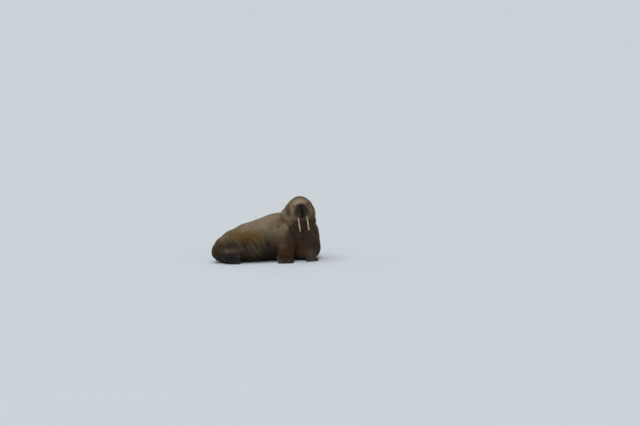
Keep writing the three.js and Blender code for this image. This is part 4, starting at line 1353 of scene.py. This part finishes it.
def whisker_roots():
    """Where the whiskers of each pad stand, which way, and how long they are."""
    draw = np.random.default_rng(71)
    found = {}
    for name, side in SIDES.items():
        rows = []
        for row in range(WHISKERS["rows"]):
            for n in range(WHISKERS["per_row"]):
                low = (row + draw.uniform(-0.2, 0.2)) / (WHISKERS["rows"] - 1)
                out = (n + 0.5 * (row % 2) + draw.uniform(-0.2, 0.2)) / (WHISKERS["per_row"] - 0.5)
                turn = rad(-16) + rad(98) * out
                dip = rad(34) - rad(92) * low
                if low < 0.16 and out < 0.20:
                    continue
                way = (side * math.sin(turn) * math.cos(dip), math.cos(turn) * math.cos(dip), math.sin(dip))
                share = (0.45 * low + 0.55 * out) ** 1.2
                length = WHISKERS["short"] + (WHISKERS["long"] - WHISKERS["short"]) * share
                rows.append((*way, length * draw.uniform(0.75, 1.1)))
        rows = np.array(rows)
        start = MM * np.array(PAIRED_LUMPS["pad"][0]) * (side, 1, 1)
        feet, ways = on_skin(np.repeat(start[None], len(rows), axis=0), rows[:, :3])
        found[name] = (feet, ways, rows[:, 3])
    return found


def make_whiskers(name, side, roots, material):
    feet, ways, lengths = roots
    draw = np.random.default_rng(83 + side)
    hang = head_way((side * 0.35, -0.15, -0.8))
    points, faces, tips = [], [], []
    t = np.linspace(0, 1, WHISKER_RINGS)
    count = 0
    for foot, way, length in zip(feet, ways, lengths):
        way = unit(way + 0.30 * hang + draw.normal(0, 0.09, 3))
        bow = draw.uniform(0.15, 0.45)
        reach = t * (length + WHISKERS["root"]) - WHISKERS["root"]
        centres = foot + way * reach[:, None] + hang * (length * bow * t * t)[:, None]
        across = unit(np.cross(way, (0.1, 0.2, 1)))
        deep = np.cross(way, across)
        thick = WHISKERS["thick"] * (1 - 0.8 * t) * (0.8 + 0.4 * length / WHISKERS["long"])
        wide, high = across * thick[:, None], deep * thick[:, None]
        ring, sides = tube_rings(centres, WHISKER_SIDES, wide, high, count)
        points.append(ring)
        faces += sides
        tips.append(np.repeat(t, WHISKER_SIDES))
        count += len(ring)
    mesh = mesh_of(f"whiskers_{name}", np.concatenate(points), faces)
    write_marks(mesh, {"tip": np.concatenate(tips)})
    add_piece(f"whiskers_{name}", mesh, material)


NAIL = {"from": 0.80, "long": 0.030, "wide": 0.0058, "high": 0.0042}
NAIL_RINGS, NAIL_SIDES = 9, 10


def make_nails(name, limb, material):
    """A small blunt nail on the back of each digit, short of its end."""
    points, faces = [], []
    count = 0
    t = np.linspace(0, 1, NAIL_RINGS)
    for digit in range(FAN["digits"]):
        across = (2 * (digit + 0.5)) / FAN["digits"] - 1
        turn = across * limb.shape["spread"]
        way = limb.along * math.cos(turn) + limb.thumb * math.sin(turn)
        side = np.cross(limb.back, way)
        length = limb.reach(across) + FAN["heel"]
        out = NAIL["from"] + t * NAIL["long"] / length
        far = FAN["pole"] - FAN["heel"] + out * length
        pole = limb.wrist - limb.along * FAN["pole"]
        size = np.sqrt(np.clip(1 - (2 * t - 1) ** 4, 0.02, 1)) * (1 - 0.35 * t)
        lift = limb.half(across, out) + NAIL["high"] * 0.1
        centres = pole + way * far[:, None] + limb.back * lift[:, None]
        wide = side * (NAIL["wide"] * size)[:, None]
        high = limb.back * (NAIL["high"] * size)[:, None]
        ring, sides = tube_rings(centres, NAIL_SIDES, wide, high, count)
        points.append(ring)
        faces += [face[::-1] for face in sides]
        count += len(ring)
    mesh = mesh_of(f"nails_{name}", np.concatenate(points), faces)
    add_piece(f"nails_{name}", mesh, material)


# The coat: short stiff hairs lying back along the body, in small tufts

TUFTS = 165_000
BLADES = 2
HAIR = {"long": 0.0115, "wide": 0.0016, "lift": rad(15)}
PATCH = 0.003  # how large a tuft is on the bake's map
BLADE_MAP = np.array([(0.1, 0.3), (0.1, 0.7), (0.55, 0.3), (0.55, 0.7), (0.95, 0.5)])
COAT_PARTS = ("rump", "haunches", "loin", "ribs", "shoulders", "breast", "neck")


def sample_faces(mesh, count, weight_of):
    """Places spread over a mesh by area and weight, with the normal at each."""
    mesh.calc_loop_triangles()
    corners = np.empty(len(mesh.loop_triangles) * 3, int)
    mesh.loop_triangles.foreach_get("vertices", corners)
    corners = corners.reshape(-1, 3)
    places = places_of(mesh)
    a, b, c = (places[corners[:, n]] for n in range(3))
    normal = np.cross(b - a, c - a)
    area = np.linalg.norm(normal, axis=1)
    weight = area * weight_of((a + b + c) / 3, corners)
    draw = np.random.default_rng(97)
    chosen = draw.choice(len(corners), count, p=weight / weight.sum())
    u, v = draw.random((2, count))
    flip = u + v > 1
    u, v = np.where(flip, 1 - u, u), np.where(flip, 1 - v, v)
    shares = np.stack([1 - u - v, u, v], axis=1)
    roots = (places[corners[chosen]] * shares[:, :, None]).sum(1)
    normals = normal[chosen] / np.maximum(area[chosen], 1e-12)[:, None]
    return roots, normals, corners[chosen], shares


def lie_of_coat(points, normals):
    """The way the coat lies: back from the nose, back along the body, and down each limb."""
    head = to_head(points)
    run, ways, _ = along_spine(points)
    lie = -ways * 0.8 + np.array((0, 0, -0.45))
    from_nose = (head - np.array((0, 0.30, 0.0))) @ HEAD_AXES.T
    from_nose /= np.linalg.norm(from_nose, axis=1)[:, None]
    near = smooth_step(0.42, 0.26, np.linalg.norm(head, axis=1))[:, None]
    lie = lie * (1 - near) + from_nose * near
    for limb in FLIPPERS.values():
        near = smooth_step(0.05, 0.0, limb.field(points))[:, None]
        way = unit(limb.shape["stalk"][-2, :3] - limb.shape["stalk"][0, :3])
        lie = lie * (1 - near) + way * near
    lie = lie - normals * (lie * normals).sum(1)[:, None]
    return lie / np.maximum(np.linalg.norm(lie, axis=1), 1e-6)[:, None]


def unwrap(points, part):
    """A flat map of the skin's own shape: along the body or head, and around it."""
    if part == "head":
        head = to_head(points)
        along = (head[:, 1] + 0.25) / 0.60
        turn = np.arctan2(head[:, 0], head[:, 2])
    else:
        run, _, turn = along_spine(points)
        along = (run + 0.15) / (SPINE_LONG + 0.35)
    return np.clip(np.stack([along, (turn + np.pi) / (2 * np.pi)], axis=1), 0.005, 0.995)


def make_coat(skin, marks, material):
    bare = np.clip(marks["bare"] + marks["nose"] + marks["muzzle"] * 0.8 + marks["dark"], 0, 1)

    def weight_of(middles, corners):
        on_floor = middles[:, 2] < 0.006
        deep = marks["crease"][corners].mean(1)
        finer = 1 + 1.1 * smooth_step(0.34, 0.26, np.linalg.norm(to_head(middles), axis=1))
        return np.where(on_floor, 0, (1 - bare[corners].mean(1)) ** 2 * (1 - 0.85 * deep) * finer)

    roots, normals, corners, shares = sample_faces(skin.data, TUFTS, weight_of)
    lie = lie_of_coat(roots, normals)
    draw = np.random.default_rng(101)
    head = to_head(roots)
    small = 1 - 0.45 * smooth_step(0.34, 0.22, np.linalg.norm(head - np.array((0, 0.1, 0)), axis=1))
    small = small * (1 - 0.5 * (marks["crease"][corners] * shares).sum(1))
    on_head = np.linalg.norm(head, axis=1) < 0.30
    run, _, _ = along_spine(roots)
    ends = np.quantile(run[~on_head], np.arange(1, len(COAT_PARTS)) / len(COAT_PARTS))
    part = np.where(on_head, "head", np.array(COAT_PARTS)[np.digitize(run, ends)])
    carried = {name: (values[corners] * shares).sum(1) for name, values in marks.items()}
    for name in ("head", *COAT_PARTS):
        chosen = part == name
        kept = {mark: values[chosen] for mark, values in carried.items()}
        add_tufts(name, roots[chosen], normals[chosen], lie[chosen], small[chosen], kept, draw, material)


def add_tufts(part, roots, normals, lie, small, marks, draw, material):
    """Each blade is a tapered strip of three triangles, bent down towards its tip."""
    count = len(roots)
    side = np.cross(normals, lie)
    points, patches = [], []
    base_map = unwrap(roots, part)
    for _ in range(BLADES):
        swing = draw.normal(0, 0.22, count)[:, None]
        way = lie * np.cos(swing) + side * np.sin(swing)
        across = np.cross(normals, way)
        long = (HAIR["long"] * small * draw.uniform(0.65, 1.15, count))[:, None]
        wide = (HAIR["wide"] * small * draw.uniform(0.8, 1.2, count))[:, None]
        lift = (HAIR["lift"] * draw.uniform(0.5, 1.4, count))[:, None]
        foot = roots + side * draw.normal(0, 0.0015, count)[:, None] - normals * 0.0015
        middle = foot + way * long * 0.55 + normals * (np.sin(lift) * long * 0.6 + 0.0008)
        tip = foot + way * long + normals * (np.sin(lift) * long * 0.85)
        near, far = across * wide / 2, across * wide * 0.36
        points.append(np.stack([foot - near, foot + near, middle - far, middle + far, tip], axis=1))
        patches.append(np.broadcast_to(base_map[:, None] + (BLADE_MAP - 0.5) * PATCH, (count, 5, 2)))
    points = np.concatenate(points).reshape(-1, 3)
    patches = np.concatenate(patches).reshape(-1, 2)
    first = np.arange(count * BLADES)[:, None] * 5
    faces = np.concatenate([first + np.array(ring) for ring in ((0, 1, 3), (0, 3, 2), (2, 3, 4))])
    points[:, 2] = np.maximum(points[:, 2], 0)
    name = f"coat_{part}"
    mesh = bpy.data.meshes.new(name)
    mesh.vertices.add(len(points))
    mesh.vertices.foreach_set("co", points.astype(np.float32).ravel())
    mesh.loops.add(faces.size)
    mesh.loops.foreach_set("vertex_index", faces.ravel().astype(np.int32))
    mesh.polygons.add(len(faces))
    mesh.polygons.foreach_set("loop_start", np.arange(0, faces.size, 3, dtype=np.int32))
    mesh.update(calc_edges=True)
    unwrapped = mesh.uv_layers.new(name="OFBake")
    unwrapped.uv.foreach_set("vector", patches[faces.ravel()].astype(np.float32).ravel())
    tiled = {key: np.repeat(np.tile(values, BLADES), 5) for key, values in marks.items()}
    tiled["tip"] = np.tile((0, 0, 0.55, 0.55, 1.0), count * BLADES)
    write_marks(mesh, tiled)
    add_piece(name, mesh, material)


# The room

FLOOR_SIZE = 400.0
FLOOR_PALE = (219, 226, 231)
FLOOR_DUST = (217, 224, 229)
SKY = (0.83, 0.845, 0.86)
SKY_STRENGTH = 0.39
# Each broad light's way, power and spread.
SUNS = {
    "overhead": ((0.20, 0.10, -1.0), 1.65, rad(60)),
    "front": ((-0.6, 1.0, -0.6), 0.22, rad(90)),
}


def make_floor():
    net = bmesh.new()
    bmesh.ops.create_grid(net, x_segments=2, y_segments=2, size=FLOOR_SIZE / 2)
    mesh = bpy.data.meshes.new("floor")
    net.to_mesh(mesh)
    net.free()
    floor = bpy.data.objects.new("floor", mesh)
    bpy.context.collection.objects.link(floor)
    finish = Finish("floor_paint")
    dust = finish.noise(0.6, 2.0)
    colour = finish.tint(FLOOR_PALE, FLOOR_DUST, finish.ramp(dust, 0.35, 0.7))
    rough = 0.75 + 0.1 * dust
    mesh.materials.append(finish.set(Base_Color=colour, Roughness=rough))


def make_sun(name, way, power, spread):
    data = bpy.data.lights.new(name, "SUN")
    data.angle = spread
    data.energy = power
    light = bpy.data.objects.new(name, data)
    light.rotation_mode = "QUATERNION"
    light.rotation_quaternion = Vector(way).to_track_quat("-Z", "Y")
    bpy.context.collection.objects.link(light)


def make_lights():
    world = bpy.data.worlds.new("sky")
    world.use_nodes = True
    glow = world.node_tree.nodes["Background"]
    glow.inputs["Color"].default_value = (*SKY, 1)
    glow.inputs["Strength"].default_value = SKY_STRENGTH
    bpy.context.scene.world = world
    for name, (way, power, spread) in SUNS.items():
        make_sun(name, way, power, spread)
    bpy.context.scene.view_settings.view_transform = "Standard"


FLESH = [
    "hips", "torso", "chest", "neck", "head", "muzzle_right", "muzzle_left", "lower_jaw", "tail",
    *(f"fore_flipper_{side}_{part}" for side in SIDES for part in ("arm", "hand")),
    *(f"hind_flipper_{side}_{part}" for side in SIDES for part in ("ankle", "foot")),
]


def shape_skin(skin):
    """Moves the skin onto the flesh and gives it its folds, nostrils, lids and ears."""
    points, normals = settle(places_of(skin.data), CELL / 4, 1)
    high, crease = relief(points)
    off_floor = smooth_step(0.0, 0.05, points[:, 2])
    shaped = points + normals * (high * off_floor)[:, None]
    dark = np.zeros(len(points))
    shaped, dark = cut_nostrils(shaped, dark)
    shaped, dark = cut_ears(shaped, dark)
    shaped, dark = fit_lids(shaped, dark)
    shaped[:, 2] = np.maximum(shaped[:, 2], 0)
    place_mesh(skin.data, shaped)
    return marks_of(points, normals, crease * off_floor, dark)


def build():
    make_camera()
    skin = make_skin()
    marks = shape_skin(skin)
    write_marks(skin.data, marks)
    skin.data.materials.append(skin_finish())
    skin.data.shade_smooth()
    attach(skin, "root")
    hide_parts(*FLESH)
    make_coat(skin, marks, coat_finish())
    ivory, horn, nail, wet = tusk_finish(), whisker_finish(), nail_finish(), eye_finish()
    roots = whisker_roots()
    for name, side in SIDES.items():
        make_eye(name, wet)
        make_tusk(f"ivory_{name}", side, f"tusk_{name}", ivory)
        make_whiskers(name, side, roots[name], horn)
    for name, limb in FLIPPERS.items():
        make_nails(name, limb, nail)
    make_floor()
    make_lights()


build()
